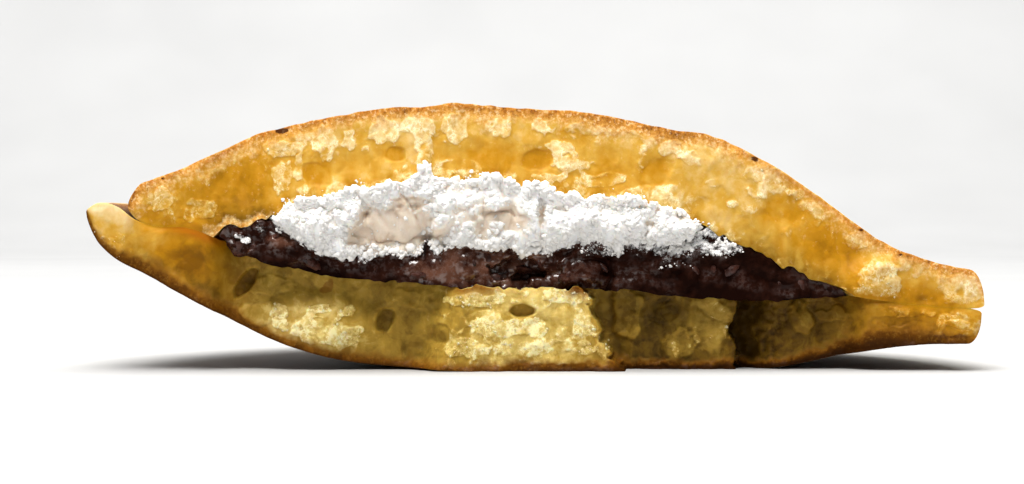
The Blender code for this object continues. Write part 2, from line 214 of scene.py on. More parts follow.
LOWER_BROWN = (
    (-50, 0.66), (-44, 0.68), (-39, 0.74), (-33, 0.66), (-1, 0.66), (5, 0.86), (10, 0.94), (28, 1),
    (35, 0.92), (39, 0.84), (43, 0.72), (50, 0.66),
)
LOWER_AMBER = (
    (-50, 1), (-44, 1), (-38.5, 0.9), (-35, 0.4), (-31.5, 0.1), (20, 0.05), (26, 0.1), (34, 0.2), (38, 0.6),
    (41, 0.9), (50, 0.85),
)

# Froth on the faces, as (x, z, half width, half height, strength).  A negative strength takes froth away.
UPPER_FROTH = (
    (-41.5, 19.2, 1.2, 1.4, 0.7), (-37.8, 18, 1.7, 1.2, 0.7), (-28.6, 24.6, 2.1, 0.9, 0.9),
    (-28.3, 21.6, 1.2, 1.9, 0.9), (-26.4, 22.8, 0.45, 1.9, 0.9), (-26, 20.6, 0.9, 1.2, 0.5),
    (-23.6, 25.5, 1.2, 2.1, 0.85), (-20.9, 25.6, 0.6, 1.2, 0.75), (-18.8, 24.9, 0.5, 0.8, 0.75),
    (-16.9, 26.8, 1.6, 1.6, 0.9), (-12.8, 27.2, 2, 1.1, 0.9), (-12.5, 24.6, 0.9, 1.9, 0.75),
    (-9.3, 27, 1.5, 1.3, 0.9), (-8.7, 22.7, 2.7, 0.9, 0.6), (-4, 27.2, 1.2, 1, 0.85),
    (0.6, 27.3, 1.2, 1, 0.85), (3, 24.9, 1.2, 0.8, 1), (4, 23.2, 2, 0.9, 0.9), (5.4, 27, 2.6, 0.8, 0.6),
    (1.5, 21.6, 1.6, 0.6, 0.8), (7.4, 21.3, 2.4, 0.7, 0.75), (12.6, 19.8, 3.2, 0.9, 0.7),
    (12.2, 23.8, 0.6, 1.5, 0.8), (14.9, 25, 1.3, 0.8, 0.8), (17.2, 23.6, 1.4, 1, 0.7),
    (20.1, 21.1, 1, 0.4, 0.7), (22, 18.6, 0.7, 0.25, 0.6), (25.8, 21.2, 2.6, 1.8, 0.5),
    (28.6, 20, 1.2, 0.7, 0.6), (19.4, 24.5, 1.5, 0.9, -0.5), (31.1, 17.4, 1.4, 1.5, 0.6),
    (35.9, 14.8, 1.2, 1.2, 0.75), (38.2, 9.9, 2.3, 2.1, 0.95), (36.2, 8.4, 1.8, 1, 0.8),
    (47.2, 8.7, 2.8, 2.2, 0.65),
)
LOWER_FROTH = (
    (-28.6, 5.6, 0.95, 1.8, 1.3), (-24.3, 4.6, 3, 1.7, 1.2), (-24.1, 7, 1.3, 0.7, 1.3),
    (-21.7, 6.4, 0.95, 0.8, 1.2), (-21.3, 3.8, 1.6, 1.3, 1.2), (-27, 6.8, 0.8, 0.8, -0.8),
    (-23.4, 5.5, 1.1, 0.6, -0.5), (-6.9, 8, 4, 0.6, 0.9), (-5.4, 5.3, 1.8, 1.3, 0.8),
    (-1.6, 4.9, 2.1, 1, 0.8), (3.1, 8.4, 3, 0.7, 0.8), (5.4, 5.2, 1.3, 0.9, 0.8), (-8, 2.7, 2.6, 0.9, 0.8),
    (7.4, 3.2, 0.9, 1.2, 0.8), (1, 2.5, 5.6, 0.9, 0.4), (-7.4, 6.7, 1.8, 0.6, -0.7),
    (2.9, 6.6, 1.9, 1, -0.7), (19.6, 5, 2.2, 3, 0.35), (16.3, 2.8, 1.7, 1.7, 0.4),
    (-39.6, 13.7, 3.8, 2.3, -0.7), (27, 4, 4, 4, -0.8), (46.6, 5.2, 3.4, 1.7, 0.75),
    (41.5, 6.6, 3.5, 0.7, 0.75), (-46.7, 14.3, 1.5, 0.8, 1), (-38.4, 14.9, 1.2, 0.6, 0.7),
)

# Where the rice cake shows through the starch, as (x, z, half width, half height, strength).
BARE_PLACES = (
    (-14.8, 15.4, 4.8, 3.3, 1.4), (-14, 18.6, 2.4, 1.6, 0.6), (-8, 20.2, 1.8, 0.9, 0.5),
    (-5.4, 16.6, 3.6, 2.4, 0.75), (-1.8, 17.4, 1.6, 2.4, 0.6), (0.6, 17.4, 0.4, 1.4, 0.9),
    (9, 19.4, 2, 0.9, 0.4),
)


# ---------------------------------------------------------------- smooth functions and repeatable unevenness


def along(knots, x):
    """Value at x of cubic pieces through (x, value) knots, whose slopes are the neighbours' mean slope."""
    places, values = np.array(knots).T
    slopes = np.gradient(values, places)
    x = np.clip(x, places[0], places[-1])
    i = np.clip(np.searchsorted(places, x) - 1, 0, len(places) - 2)
    width = places[i + 1] - places[i]
    t = (x - places[i]) / width
    starts = (2 * t ** 3 - 3 * t ** 2 + 1) * values[i] + (t ** 3 - 2 * t ** 2 + t) * width * slopes[i]
    ends = (3 * t ** 2 - 2 * t ** 3) * values[i + 1] + (t ** 3 - t ** 2) * width * slopes[i + 1]
    return starts + ends


def ease(value):
    """0 below 0, 1 above 1, and a smooth S between."""
    value = np.clip(value, 0, 1)
    return value * value * (3 - 2 * value)


def bell(value):
    """1 at 0, falling smoothly on both sides: e to the power of minus the square."""
    return np.exp(-(value ** 2))


def band(x, start, end, rising, falling):
    """1 between two places, easing to 0 at `start` over `rising` and at `end` over `falling`."""
    return ease((x - start) / rising) * ease((end - x) / falling)


def chance(i, j, seed):
    """A repeatable value from 0 to 1 for each pair of whole numbers."""
    mixed = (i * 374761393 + j * 668265263 + seed * 974634777) & 0xFFFFFFFF
    mixed = ((mixed ^ (mixed >> 13)) * 1274126177) & 0xFFFFFFFF
    return (mixed ^ (mixed >> 16)) / 2 ** 32


def waves(u, v, seed):
    """Smooth unevenness from -1 to 1: chance values on a unit grid, eased from corner to corner."""
    i = np.floor(u).astype(np.int64)
    j = np.floor(v).astype(np.int64)
    across, up = ease(u - i), ease(v - j)
    low = chance(i, j, seed) * (1 - across) + chance(i + 1, j, seed) * across
    high = chance(i, j + 1, seed) * (1 - across) + chance(i + 1, j + 1, seed) * across
    return 2 * (low * (1 - up) + high * up) - 1


def ripples(u, seed):
    """Waves along one direction only."""
    return waves(u, 0 * u, seed)


def domes(u, v, seed):
    """Round clumps packed together: 1 at a clump's top and 0 in the creases between.

    Each unit square holds one centre, placed by chance, and a dome is a quarter circle over the distance to
    the nearest centre.
    """
    i = np.floor(u).astype(np.int64)
    j = np.floor(v).astype(np.int64)
    nearest = np.full(np.shape(u), np.inf)
    for across in (-1, 0, 1):
        for up in (-1, 0, 1):
            centre_u = i + across + chance(i + across, j + up, seed)
            centre_v = j + up + chance(i + across, j + up, seed + 1)
            nearest = np.minimum(nearest, np.hypot(u - centre_u, v - centre_v))
    return np.sqrt(np.clip(1 - (nearest / DOME_RADIUS) ** 2, 0, 1))


def bent(x, z, size, amount, seed):
    """Places moved by up to `amount`, in waves of `size`, so that what is laid out over them wanders."""
    return x + amount * waves(x / size, z / size, seed), z + amount * waves(x / size, z / size, seed + 1)


def squarish(across, up, squareness):
    """Distance from the middle, level along diamonds at a squareness of 1, ovals at 2 and boxes above."""
    return (np.abs(across) ** squareness + np.abs(up) ** squareness) ** (1 / squareness)


def patches(x, z, places, ragged, seed):
    """Sum of flat-topped oval patches, each fading over a quarter of its size, with `ragged` edges."""
    total = np.zeros(np.shape(x))
    wander = ragged * (waves(x / 1.1, z / 1.1, seed) + 0.5 * waves(x / 0.45, z / 0.45, seed + 1))
    for centre_x, centre_z, half_width, half_height, strength in places:
        reach = squarish((x - centre_x) / half_width, (z - centre_z) / half_height, 2.4)
        total += strength * ease((1.14 - reach + wander / np.sqrt(half_width * half_height)) / 0.28)
    return total


def pockets(x, z, places, squareness):
    """Sum of crisp hollows that lean sideways as they rise."""
    total = np.zeros(np.shape(x))
    wander = 0.12 * waves(x / 0.7, z / 0.7, 91)
    for centre_x, centre_z, half_width, half_height, lean, depth in places:
        across = (x - centre_x - lean * (z - centre_z)) / half_width
        reach = squarish(across, (z - centre_z) / half_height, squareness)
        total += depth * ease((1.05 - reach + wander) / 0.2)
    return total


def mounds(x, z, places):
    """Sum of smooth round mounds, each highest at its centre and gone at one and a half times its size."""
    total = np.zeros(np.shape(x))
    for centre_x, centre_z, half_width, half_height, height in places:
        reach = np.hypot((x - centre_x) / half_width, (z - centre_z) / half_height)
        total += height * ease(1.2 - 0.8 * reach)
    return total


def joined_ends(x):
    """1 on the two ends of the tear, where the cakes' rims stick together, 0 between them."""
    return ease((JOINED_LEFT - x) / JOINED_SOFT) + ease((x - JOINED_RIGHT) / JOINED_SOFT)


def fringe(x, y, seed):
    """Raggedness of a torn edge, from -1 to 1: waves of two lengths that die away behind the tear."""
    return ease(1 - y / FRAY_DEPTH) * (0.6 * ripples(x / 1.7, seed) + 0.4 * ripples(x / 0.6, seed + 1))


# ---------------------------------------------------------------- surfaces between the layers


def spun(knots, x, y, sharpness=1):
    """Height at (x, y) of a surface that shows the curve through `knots` along the tear.

    A point takes the curve's height at its own distance from the middle, mixed from the right and the left
    half of the curve by how far round it lies.
    """
    reach = np.hypot(x, np.maximum(y, 0))
    left_share = ((1 - x / np.maximum(reach, 1e-9)) / 2) ** sharpness
    return (1 - left_share) * along(knots, reach) + left_share * along(knots, -reach)


def top_crust(x, y):
    """Upper side of the top cake, with the small unevenness of its torn edge."""
    edge = 0.16 * ripples(x / 3.1, 61) + 0.07 * ripples(x, 62)
    slow = CRUST_WAVE * ease(y / 6) * waves(x / 9, y / 9, 3)
    return spun(TOP_CRUST, x, y) + edge * ease(1 - y / 9) + slow


def bottom_crust(x, y):
    """Lower side of the bottom cake, pressed flat on the table under its own weight."""
    depth = np.maximum(y, 0)
    pressed = SETTLE * depth / np.maximum(np.hypot(x, depth), 1e-9)
    height = np.maximum(spun(BOTTOM_CRUST, x, y, 2) - pressed, 0)
    return height + CRUST_WAVE * ease(y / 6) * ease(height / 3) * waves(x / 8, y / 8, 5)


def floor(x, y):
    """Upper side of the bottom cake."""
    ragged = 0.3 + 0.3 * ease((9 - np.abs(x - BLOCK_CENTRE)) / 2)
    return spun(FLOOR, x, y) + ragged * fringe(x, y, 63) * (1 - joined_ends(x))


def heap_peaks(x, y):
    """Height of the heap's peaks, which die away behind the tear."""
    peaks = sum(height * bell((x - centre) / half) for centre, half, height in HEAP_PEAKS)
    return ease(1 - y / PEAK_DEPTH) * peaks


def seam(x, y):
    """Lower side of the top cake: the floor, raised by the fillings, and by a clearance beyond them."""
    filling = spun(FILLING, x, y)
    filling = filling + (0.6 * fringe(x, y, 65) + heap_peaks(x, y)) * ease(filling / 4)
    stuck = joined_ends(x) * ease(1 - y / FRAY_DEPTH)
    return floor(x, y) + np.hypot(np.maximum(filling, 0), GAP * (1 - JOINED_CLOSER * stuck))


def white_thickness(x, y):
    """Thickness of the white filling."""
    white = spun(WHITE, x, y)
    ragged = 0.45 * ease(1 - y / FRAY_DEPTH) * ripples(x / 2.1, 67)
    return np.maximum(white + ragged * ease(white / 1.5), 0)


def white_top(x, y):
    """Upper side of the white filling."""
    return seam(x, y) - GAP


def white_bottom(x, y):
    """Lower side of the white filling."""
    return white_top(x, y) - white_thickness(x, y)


def bean_top(x, y):
    """Upper side of the bean paste: under the white filling, and right up to the top cake beyond it."""
    beyond = np.hypot(x - WHITE_DISC.centre, np.maximum(y, 0)) - WHITE_DISC.radius
    under_white = ease(1 - beyond / BEAN_RISE)
    return white_top(x, y) - under_white * (white_thickness(x, y) + GAP)


def bean_bottom(x, y):
    """Lower side of the bean paste."""
    return floor(x, y) + GAP


# ---------------------------------------------------------------- torn faces


def tear(x):
    """How the line of the tear wanders in plan."""
    return 0.7 * np.sin(x / 17 + 0.6) + 0.35 * np.sin(x / 6.3 + 2)


def lobe(x):
    """1 on the untorn end of the lower cake's rim, 0 away from it."""
    return np.exp(-(((x - LOBE_X) / LOBE_HALF) ** 4))


def bottom_tear(x):
    """Plan line of the lower cake's face: set back between the ends, and proud at the untorn one."""
    return tear(x) + BOTTOM_SET_BACK * (1 - joined_ends(x)) - LOBE_PROUD * lobe(x)


Crumb = namedtuple("Crumb", "depth tone froth")


def crumb(x, z, seed, frothy, sugary):
    """Broken crumb: soft upright swellings, knobs and grain where `sugary`, and ragged islands of froth.

    Swellings are slow waves on bent places, knobs and grain are packed domes.  Froth is thick where middling
    waves and `frothy` together rise above zero, and stands a little out of the crumb.
    """
    wide_x, wide_z = bent(x, z, 1.7, 0.6, seed + 3)
    rag_x, rag_z = bent(wide_x, wide_z, 0.5, 0.18, seed + 5)
    swelling = waves(wide_x / 1.4, wide_z / 2.6, seed + 10)
    swelling += 0.35 * waves(rag_x / 0.7, rag_z / 0.9, seed + 11)
    knobs = domes(rag_x / 1.8, rag_z / 2.4, seed + 13)
    grain = domes(rag_x / 0.6, rag_z / 0.55, seed + 15)
    islands = 0.5 * waves(wide_x / 1.1, wide_z / 1.5, seed + 17)
    islands += 0.3 * waves(rag_x / 0.5, rag_z / 0.55, seed + 18)
    froth = ease(frothy + islands + 0.5)
    depth = 0.2 * swelling - sugary * (0.34 * knobs + 0.09 * grain) - froth * (0.06 + 0.05 * grain)
    # Lighter on the knobs' tops and where the crumb swells out, darker where it sinks back: painted light and
    # shade.
    tone = 0.04 * waves(x / 0.5, z / 2.4, seed + 28) - 0.045 * swelling + sugary * 0.1 * (knobs - 0.6)
    return Crumb(depth, tone, froth)


def skin(away, x, seed):
    """How far the thin browned skin stands out of the crumb, by its distance `away` from the crust."""
    ragged = 0.16 + 0.2 * ripples(x / 1.4, seed) + 0.14 * ripples(x / 0.45, seed + 1)
    return ragged * bell(away / 0.45)


def browning(away, x, z, seed, width):
    """How brown the face is beside the crust: 1 along it, fading over a ragged band of about `width`."""
    reach = width * (1 + 0.35 * waves(x / 1.9, z / 3, seed) + 0.2 * waves(x / 0.45, z / 0.6, seed + 1))
    return bell(away / np.maximum(reach, 0.15))


# `depth` is how far the face lies behind the tear, and `tone` how light it is.  `tint` is how amber the
# crumb is, orange above 1, how dusty the bean paste and how bare the rice cake.  `crust` is how browned the
# crumb is.  `froth` is how frothed the crumb, how smeared the bean paste and how caked the rice cake is.
Face = namedtuple("Face", "depth tone tint crust froth")


def top_face(x, z, rise, thickness):
    """Upper cake's torn face: it leans out over the filling, and smooth pockets lie among the froth."""
    pocket = pockets(x, z, TOP_POCKETS, 3)
    in_pocket = np.clip(pocket / 0.12, 0, 1)
    golden = np.clip(mounds(x, z, GOLDEN), 0, 1)
    above_filling = rise * thickness
    away = (1 - rise) * thickness
    ends = joined_ends(x)
    frothy = -0.5 + patches(x, z, UPPER_FROTH, 0.5, 74) - 0.9 * in_pocket - 0.2 * golden
    frothy += 0.3 * bell((away - 1.7) / 1.1) + 0.06 * ease((-30 - x) / 4)
    frothy += (1 - ends) * (0.7 - 0.6 * ease((x - 20) / 5)) * bell(above_filling / 0.9)
    broken = crumb(x, z, 11, frothy, 0.05)
    calm = 1 - ends * bell(above_filling / 0.5)
    lean = (1.1 - 1.3 * (1 - rise)) * (1 - ends) + 0.15 * ends * rise
    depth = lean + calm * (1 - 0.5 * in_pocket) * broken.depth + 0.3 * golden + pocket
    depth -= mounds(x, z, TOP_MOUNDS)
    depth -= skin(away, x, 71)
    streak = end_streak(x, above_filling)
    tone = shared_at_ends(x, above_filling, along(UPPER_TONE, x)) + calm * broken.tone
    # Golden places and pockets are darker: painted shade in their shallow hollows.
    tone += 0.05 * waves(x / 1.6, z / 3, 75) - 0.14 * golden - 0.08 * in_pocket - 0.04 * streak
    # Painted shade along the lower edge over the filling.
    tone -= 0.14 * (1 - ends) * bell(above_filling / 0.9)
    # Beige olive band over the filling from x = 19 to 36: painted shade.
    beige = band(x, 19, 36, 7, 4) * bell(above_filling / 2.2)
    crust = along(UPPER_BROWN, x) * browning(away, x, z, 77, 1.85) + 0.05 * bell(away / 0.16)
    crust += patches(x, z, SCORCHED, 0.2, 78)
    shaded = band(x, -38, -28.5, 2, 2.5)
    tone -= 0.13 * shaded * bell(above_filling / 2.6)
    crust += 0.45 * shaded * bell(above_filling / 0.8)
    crust += 0.2 * bell((x + 46) / 2.2)
    tint = 1 - 0.7 * beige + 0.4 * streak
    tint -= 0.35 * (1 - ends) * (1 - beige) * bell(above_filling) + 0.1 * ease((-28 - x) / 4)
    tint -= 0.45 * shaded * bell(above_filling / 2.6)
    return Face(depth, tone + 0.08 * beige, tint, crust, calm * broken.froth)


def shared_at_ends(x, from_seam, own_tone):
    """A face's own tone, giving way to the mean of both cakes' near the seam at the two joined ends."""
    shared = (along(UPPER_TONE, x) + along(LOWER_TONE, x)) / 2 - 0.03
    return own_tone + (shared - own_tone) * joined_ends(x) * bell(from_seam / 1.8)


def end_streak(x, away):
    """The orange streak along the left end of the seam, by distance from the seam."""
    reach = 0.6 + 0.6 * ease((x + 43) / 7)
    return band(x, -44, -34.2, 8, 1) * bell(away / reach)


def bottom_face(x, z, rise, thickness):
    """Lower cake's torn face: set back, in painted shade, with a proud bright block and patch, and a dark
    split.
    """
    half = BLOCK_BOTTOM_HALF + (BLOCK_TOP_HALF - BLOCK_BOTTOM_HALF) * rise
    half -= np.where(x < BLOCK_CENTRE, 0, 1.6 * (rise - 0.5))
    fine = np.where(x < BLOCK_CENTRE, 0.1, 0.45)
    ragged = 0.9 * waves(x / 50 + 9, z / 1.6, 17) + fine * waves(x / 0.7, z / 0.5, 18)
    edge_width = np.where(x < BLOCK_CENTRE, 5, 0.8)
    block = ease((half + ragged - np.abs(x - BLOCK_CENTRE)) / edge_width + 0.5)
    split_edge = 0.6 * waves(x / 50, z / 1.5, 19) + 0.35 * waves(x / 0.5, z / 0.5, 20)
    past_split = x - SPLIT_X + split_edge
    split = ease(past_split / SPLIT_WIDTH) * ease(1 - past_split / SPLIT_WALL)
    away = rise * thickness
    below_filling = (1 - rise) * thickness
    ends = joined_ends(x) * (1 - lobe(x))
    pocket = pockets(x, z, BOTTOM_POCKETS, 2.2)
    in_pocket = np.clip(pocket / 0.9, 0, 1)
    lumps = patches(x, z, LOWER_LUMPS, 0.5, 86)
    proud = mounds(x, z, BOTTOM_MOUNDS) + 3 * lumps
    frothy = -0.72 + 0.55 * block + patches(x, z, LOWER_FROTH, 0.6, 84) - 0.9 * in_pocket - 0.6 * split
    broken = crumb(x, z, 23, frothy, (1 - 0.5 * joined_ends(x)) * (0.5 + 0.45 * ease((x - 7) / 3)))
    calm = (1 - 0.5 * lobe(x)) * (1 - ends * bell(below_filling / 0.5))
    depth = calm * broken.depth - (1 - lobe(x)) * skin(away, x, 81) + pocket - proud
    depth += SPLIT_DEPTH * split - BLOCK_PROUD * block
    # The patch is lighter, partly for its paler crumb and partly as painted light where it stands out.
    pale_and_lit_patch = np.clip(mounds(x, z, BOTTOM_MOUNDS[:1]), 0, 1)
    own_tone = along(LOWER_TONE, x) + 0.16 * pale_and_lit_patch
    # Pockets and the split are darker: painted shade in hollows.
    tone = shared_at_ends(x, below_filling, own_tone) + calm * broken.tone - 0.13 * in_pocket - 0.2 * split
    streak = end_streak(x, below_filling)
    tone += 1.4 * lumps + 0.04 * waves(x / 2, z / 2, 85) + mounds(x, z, LOWER_SHADE) - 0.08 * streak
    # Painted shade along the foot of the face, from x = 9 to 35.
    tone -= 0.07 * band(x, 25, 35, 2, 4) * bell(away / 2.4)
    tone -= 0.15 * band(x, 9, 24, 2, 2) * bell(away / 1.3)
    lobe_tone = 0.42 * ease((rise - 0.45) / 0.5) - 0.03 - 0.1 * ease((x + 49.5) / 3)
    tone += lobe(x) * (lobe_tone + 0.05 * waves(x / 0.7, z / 0.6, 92))
    inner_skin = 0.42 * browning(below_filling, x, z, 88, 1.3) * (mounds(x, z, INNER_SKIN) + 0.25 * block)
    inner_skin += 0.35 * patches(x, z, SKIN_FLAKE, 0.4, 90)
    # Browning at the foot is darker from x = 9 to 36 and wider and darker about x = 38: painted shadow.
    shaded_wedge = bell((x - 38) / 5)
    painted_foot_shadow = band(x, 9, 36, 2, 4)
    width = 1.2 + 1.3 * shaded_wedge + 0.6 * bell((x + 39) / 5) - 0.5 * painted_foot_shadow
    crust = along(LOWER_BROWN, x) * browning(away, x, z, 87, width) ** (1 - 0.3 * painted_foot_shadow)
    crust += 0.15 * bell(away / 0.25)
    crust += 0.15 * shaded_wedge * bell(away / 1.2)
    crust = np.maximum(crust * (1 - 0.6 * ease((x - 47.8) / 1.5)), inner_skin)
    amber = along(LOWER_AMBER, x) + 0.28 * block + 0.35 * pale_and_lit_patch
    amber -= 0.5 * ease((-34 - x) / 3) * (1 - lobe(x)) * bell((away - 1.8) / 1.3)
    return Face(depth, tone, amber + 1.1 * streak, crust, calm * broken.froth)


def bean_face(x, z, rise, thickness):
    """Bean paste's face: crushed beans as domes of two sizes, smeared together, a deep hole, and dust."""
    wide_x, wide_z = bent(x, z, 2.5, 0.7, 31)
    whole = domes(wide_x / 4, wide_z / 2.6, 33)
    halves = domes(wide_x / 1.7, wide_z / 1.3, 36)
    smear = ease(waves(x / 6, z / 3, 39) + 0.65)
    paste = 0.1 * waves(x / 0.9, z / 0.7, 40)
    hole = patches(x, z, BEAN_HOLLOWS, 0.6, 42)
    depth = 0.7 - 0.8 * whole - smear * (0.3 * halves + paste) + hole
    # Painted light and shade: lighter on the beans' crowns, darker between them, in the hole and right of x =
    # 8.
    tone = 0.1 - 0.1 * ease((x - 8) / 6) + 0.4 * bell((x + 6) / 9) + 0.2 * whole + 0.15 * halves * smear
    tone += mounds(x, z, BEAN_LIGHTS) + 0.25 * waves(x / 1.9, z / 1.2, 44)
    tone -= 0.08 * np.clip(hole / 2, 0, 1) + 0.25 * ease((0.3 - rise) / 0.3)
    below_heap = white_bottom(x, 0 * x) - z
    reach = 0.4 + 2.4 * bell((x - 16.5) / 5.5) + 0.8 * bell((x + 30.4) / 1.6)
    dust = bell(np.maximum(below_heap, 0) / reach) * ease((27 - np.abs(x + 4)) / 3)
    dust = np.maximum(dust, mounds(x, z, POWDERED))
    depth -= ease(2 * dust - 0.4) * (0.1 + 0.4 * domes(x / 0.65, z / 0.6, 45))
    return Face(depth, tone, dust, 0 * x, smear)


def white_face(x, z, rise, thickness):
    """White filling's face: a swollen heap of starch clumps of three sizes, bare and creased in places."""
    wide_x, wide_z = bent(x, z, 1.6, 0.7, 51)
    rag_x, rag_z = bent(wide_x, wide_z, 0.5, 0.25, 53)
    heaps = domes(wide_x / 3.2, wide_z / 3, 55)
    clumps = domes(rag_x / 1.5, rag_z / 1.6, 58)
    grains = domes(rag_x / 0.65, rag_z / 0.7, 61)
    hollow = ease((0.7 - heaps) / 0.5)
    bare = 1.4 * mounds(x, z, BARE_PLACES) + 0.7 * hollow * ease(0.75 + 2 * waves(x / 3.2, z / 2.6, 66))
    bare = np.clip(bare - 0.7 * clumps * ease(0.3 + 2 * waves(x / 1.5, z / 0.9, 67)), 0, 1)
    caked = 1 - bare
    swell = -1.5 * np.sin(np.pi * np.clip(rise, 0, 1))
    creases = 0.3 * bell(waves(x / 2.2 + z / 5, z / 6, 68) / 0.12)
    depth = 0.8 + swell - 0.9 * heaps - caked * (0.1 + 0.5 * clumps + 0.12 * grains) + bare * creases
    depth -= 0.9 * ease((rise - 0.75) / 0.25)
    depth += patches(x, z, WHITE_HOLLOWS, 0.8, 69)
    # Painted shade: darker in the creases between clumps and between heaps; bare rice cake is its own beige.
    tone = 1 - 0.6 * bare - 0.3 * (1 - clumps) ** 2 - 0.16 * (1 - heaps)
    return Face(depth, tone, bare, 0 * x, caked)


# ---------------------------------------------------------------- from arrays to pieces


Layer = namedtuple("Layer", "disc lower upper line face outer")
LOWER_CAKE = Layer(BOTTOM_DISC, bottom_crust, floor, bottom_tear, bottom_face, "below")
BEAN_PASTE = Layer(BEAN_DISC, bean_bottom, bean_top, tear, bean_face, "none")
WHITE_FILLING = Layer(WHITE_DISC, white_bottom, white_top, tear, white_face, "none")
UPPER_CAKE = Layer(TOP_DISC, seam, top_crust, tear, top_face, "above")


def rim_depth(layer, x):
    """How far back the layer's rim lies at each x, and the same on a true circle."""
    disc = layer.disc
    from_centre = np.minimum(np.abs(x - disc.centre) / disc.radius, 1)
    true_depth = disc.radius * np.sqrt(1 - from_centre ** 2)
    wander = RIM_WANDER * np.sin(x / 12 + disc.radius) * ease(true_depth / 25)
    return true_depth * (1 + wander) + layer.line(x) * (1 - true_depth / disc.radius), true_depth


# How far up the rim's outermost line moves at the joined ends, as a share of the thickness.
TOWARDS_SEAM = {"above": -0.25, "below": 0.25, "none": 0}


def rim_height(layer, x, y):
    """Height of the rim's outermost line: half way up, and nearer to the seam at the joined ends."""
    share = joined_ends(x) * (1 + 0.5 * ease((x - 45) / 3))
    towards_seam = TOWARDS_SEAM[layer.outer] * share
    low, high = layer.lower(x, y), layer.upper(x, y)
    return low + (high - low) * (0.5 + towards_seam)


def sides(layer, x, y, out):
    """Lower and upper heights at (x, y), closing as a quarter ellipse near the rim, where `out` is 1."""
    low, high = layer.lower(x, y), layer.upper(x, y)
    low = np.minimum(low, high - THINNEST)
    rim_start = 1 - layer.disc.rim / layer.disc.radius
    near_rim = np.clip((out - rim_start) / (1 - rim_start), 0, 1)
    meet = rim_height(layer, x, y)
    return meet + (low - meet) * np.sqrt(1 - near_rim ** 2), meet + (high - meet) * np.sqrt(1 - near_rim ** 2)


def face_at(layer, x, rise):
    """Points on the torn face at x and at a share `rise` of the layer's thickness, and the face's values."""
    from_centre = np.abs(x - layer.disc.centre) / layer.disc.radius
    low, high = sides(layer, x, np.zeros_like(x), from_centre)
    z = low + (high - low) * rise
    face = layer.face(x, z, rise, high - low)
    fade = ease(rim_depth(layer, x)[1] / FLAT_DEPTH)
    return np.stack([x, layer.line(x) + fade * face.depth, z], axis=-1), face


def behind_edges(outer, on_face, y_high, y_low):
    """Values on the upper and the lower side: `outer`, giving way to the face's close behind its edges."""
    near_upper = ease(1 - (y_high - y_high[:, :1]) / CARRY_DEPTH)
    near_lower = ease(1 - (y_low - y_low[:, :1]) / CARRY_DEPTH)
    return outer + (on_face[:, -1:] - outer) * near_upper, outer + (on_face[:, :1] - outer) * near_lower


def closed_faces(rows, around):
    """Faces round `rows` rings of `around` points each, and fans from the two end points that follow them."""
    row = np.arange(rows - 1)[:, None] * around
    here = np.arange(around)
    after = (here + 1) % around
    quads = np.stack([row + here, row + around + here, row + around + after, row + after], axis=-1)
    first_end = np.full(around, rows * around)
    last = (rows - 1) * around
    first_fan = np.stack([first_end, here, after], axis=-1)
    last_fan = np.stack([last + here, first_end + 1, last + after], axis=-1)
    return [quads.reshape(-1, 4), first_fan, last_fan]


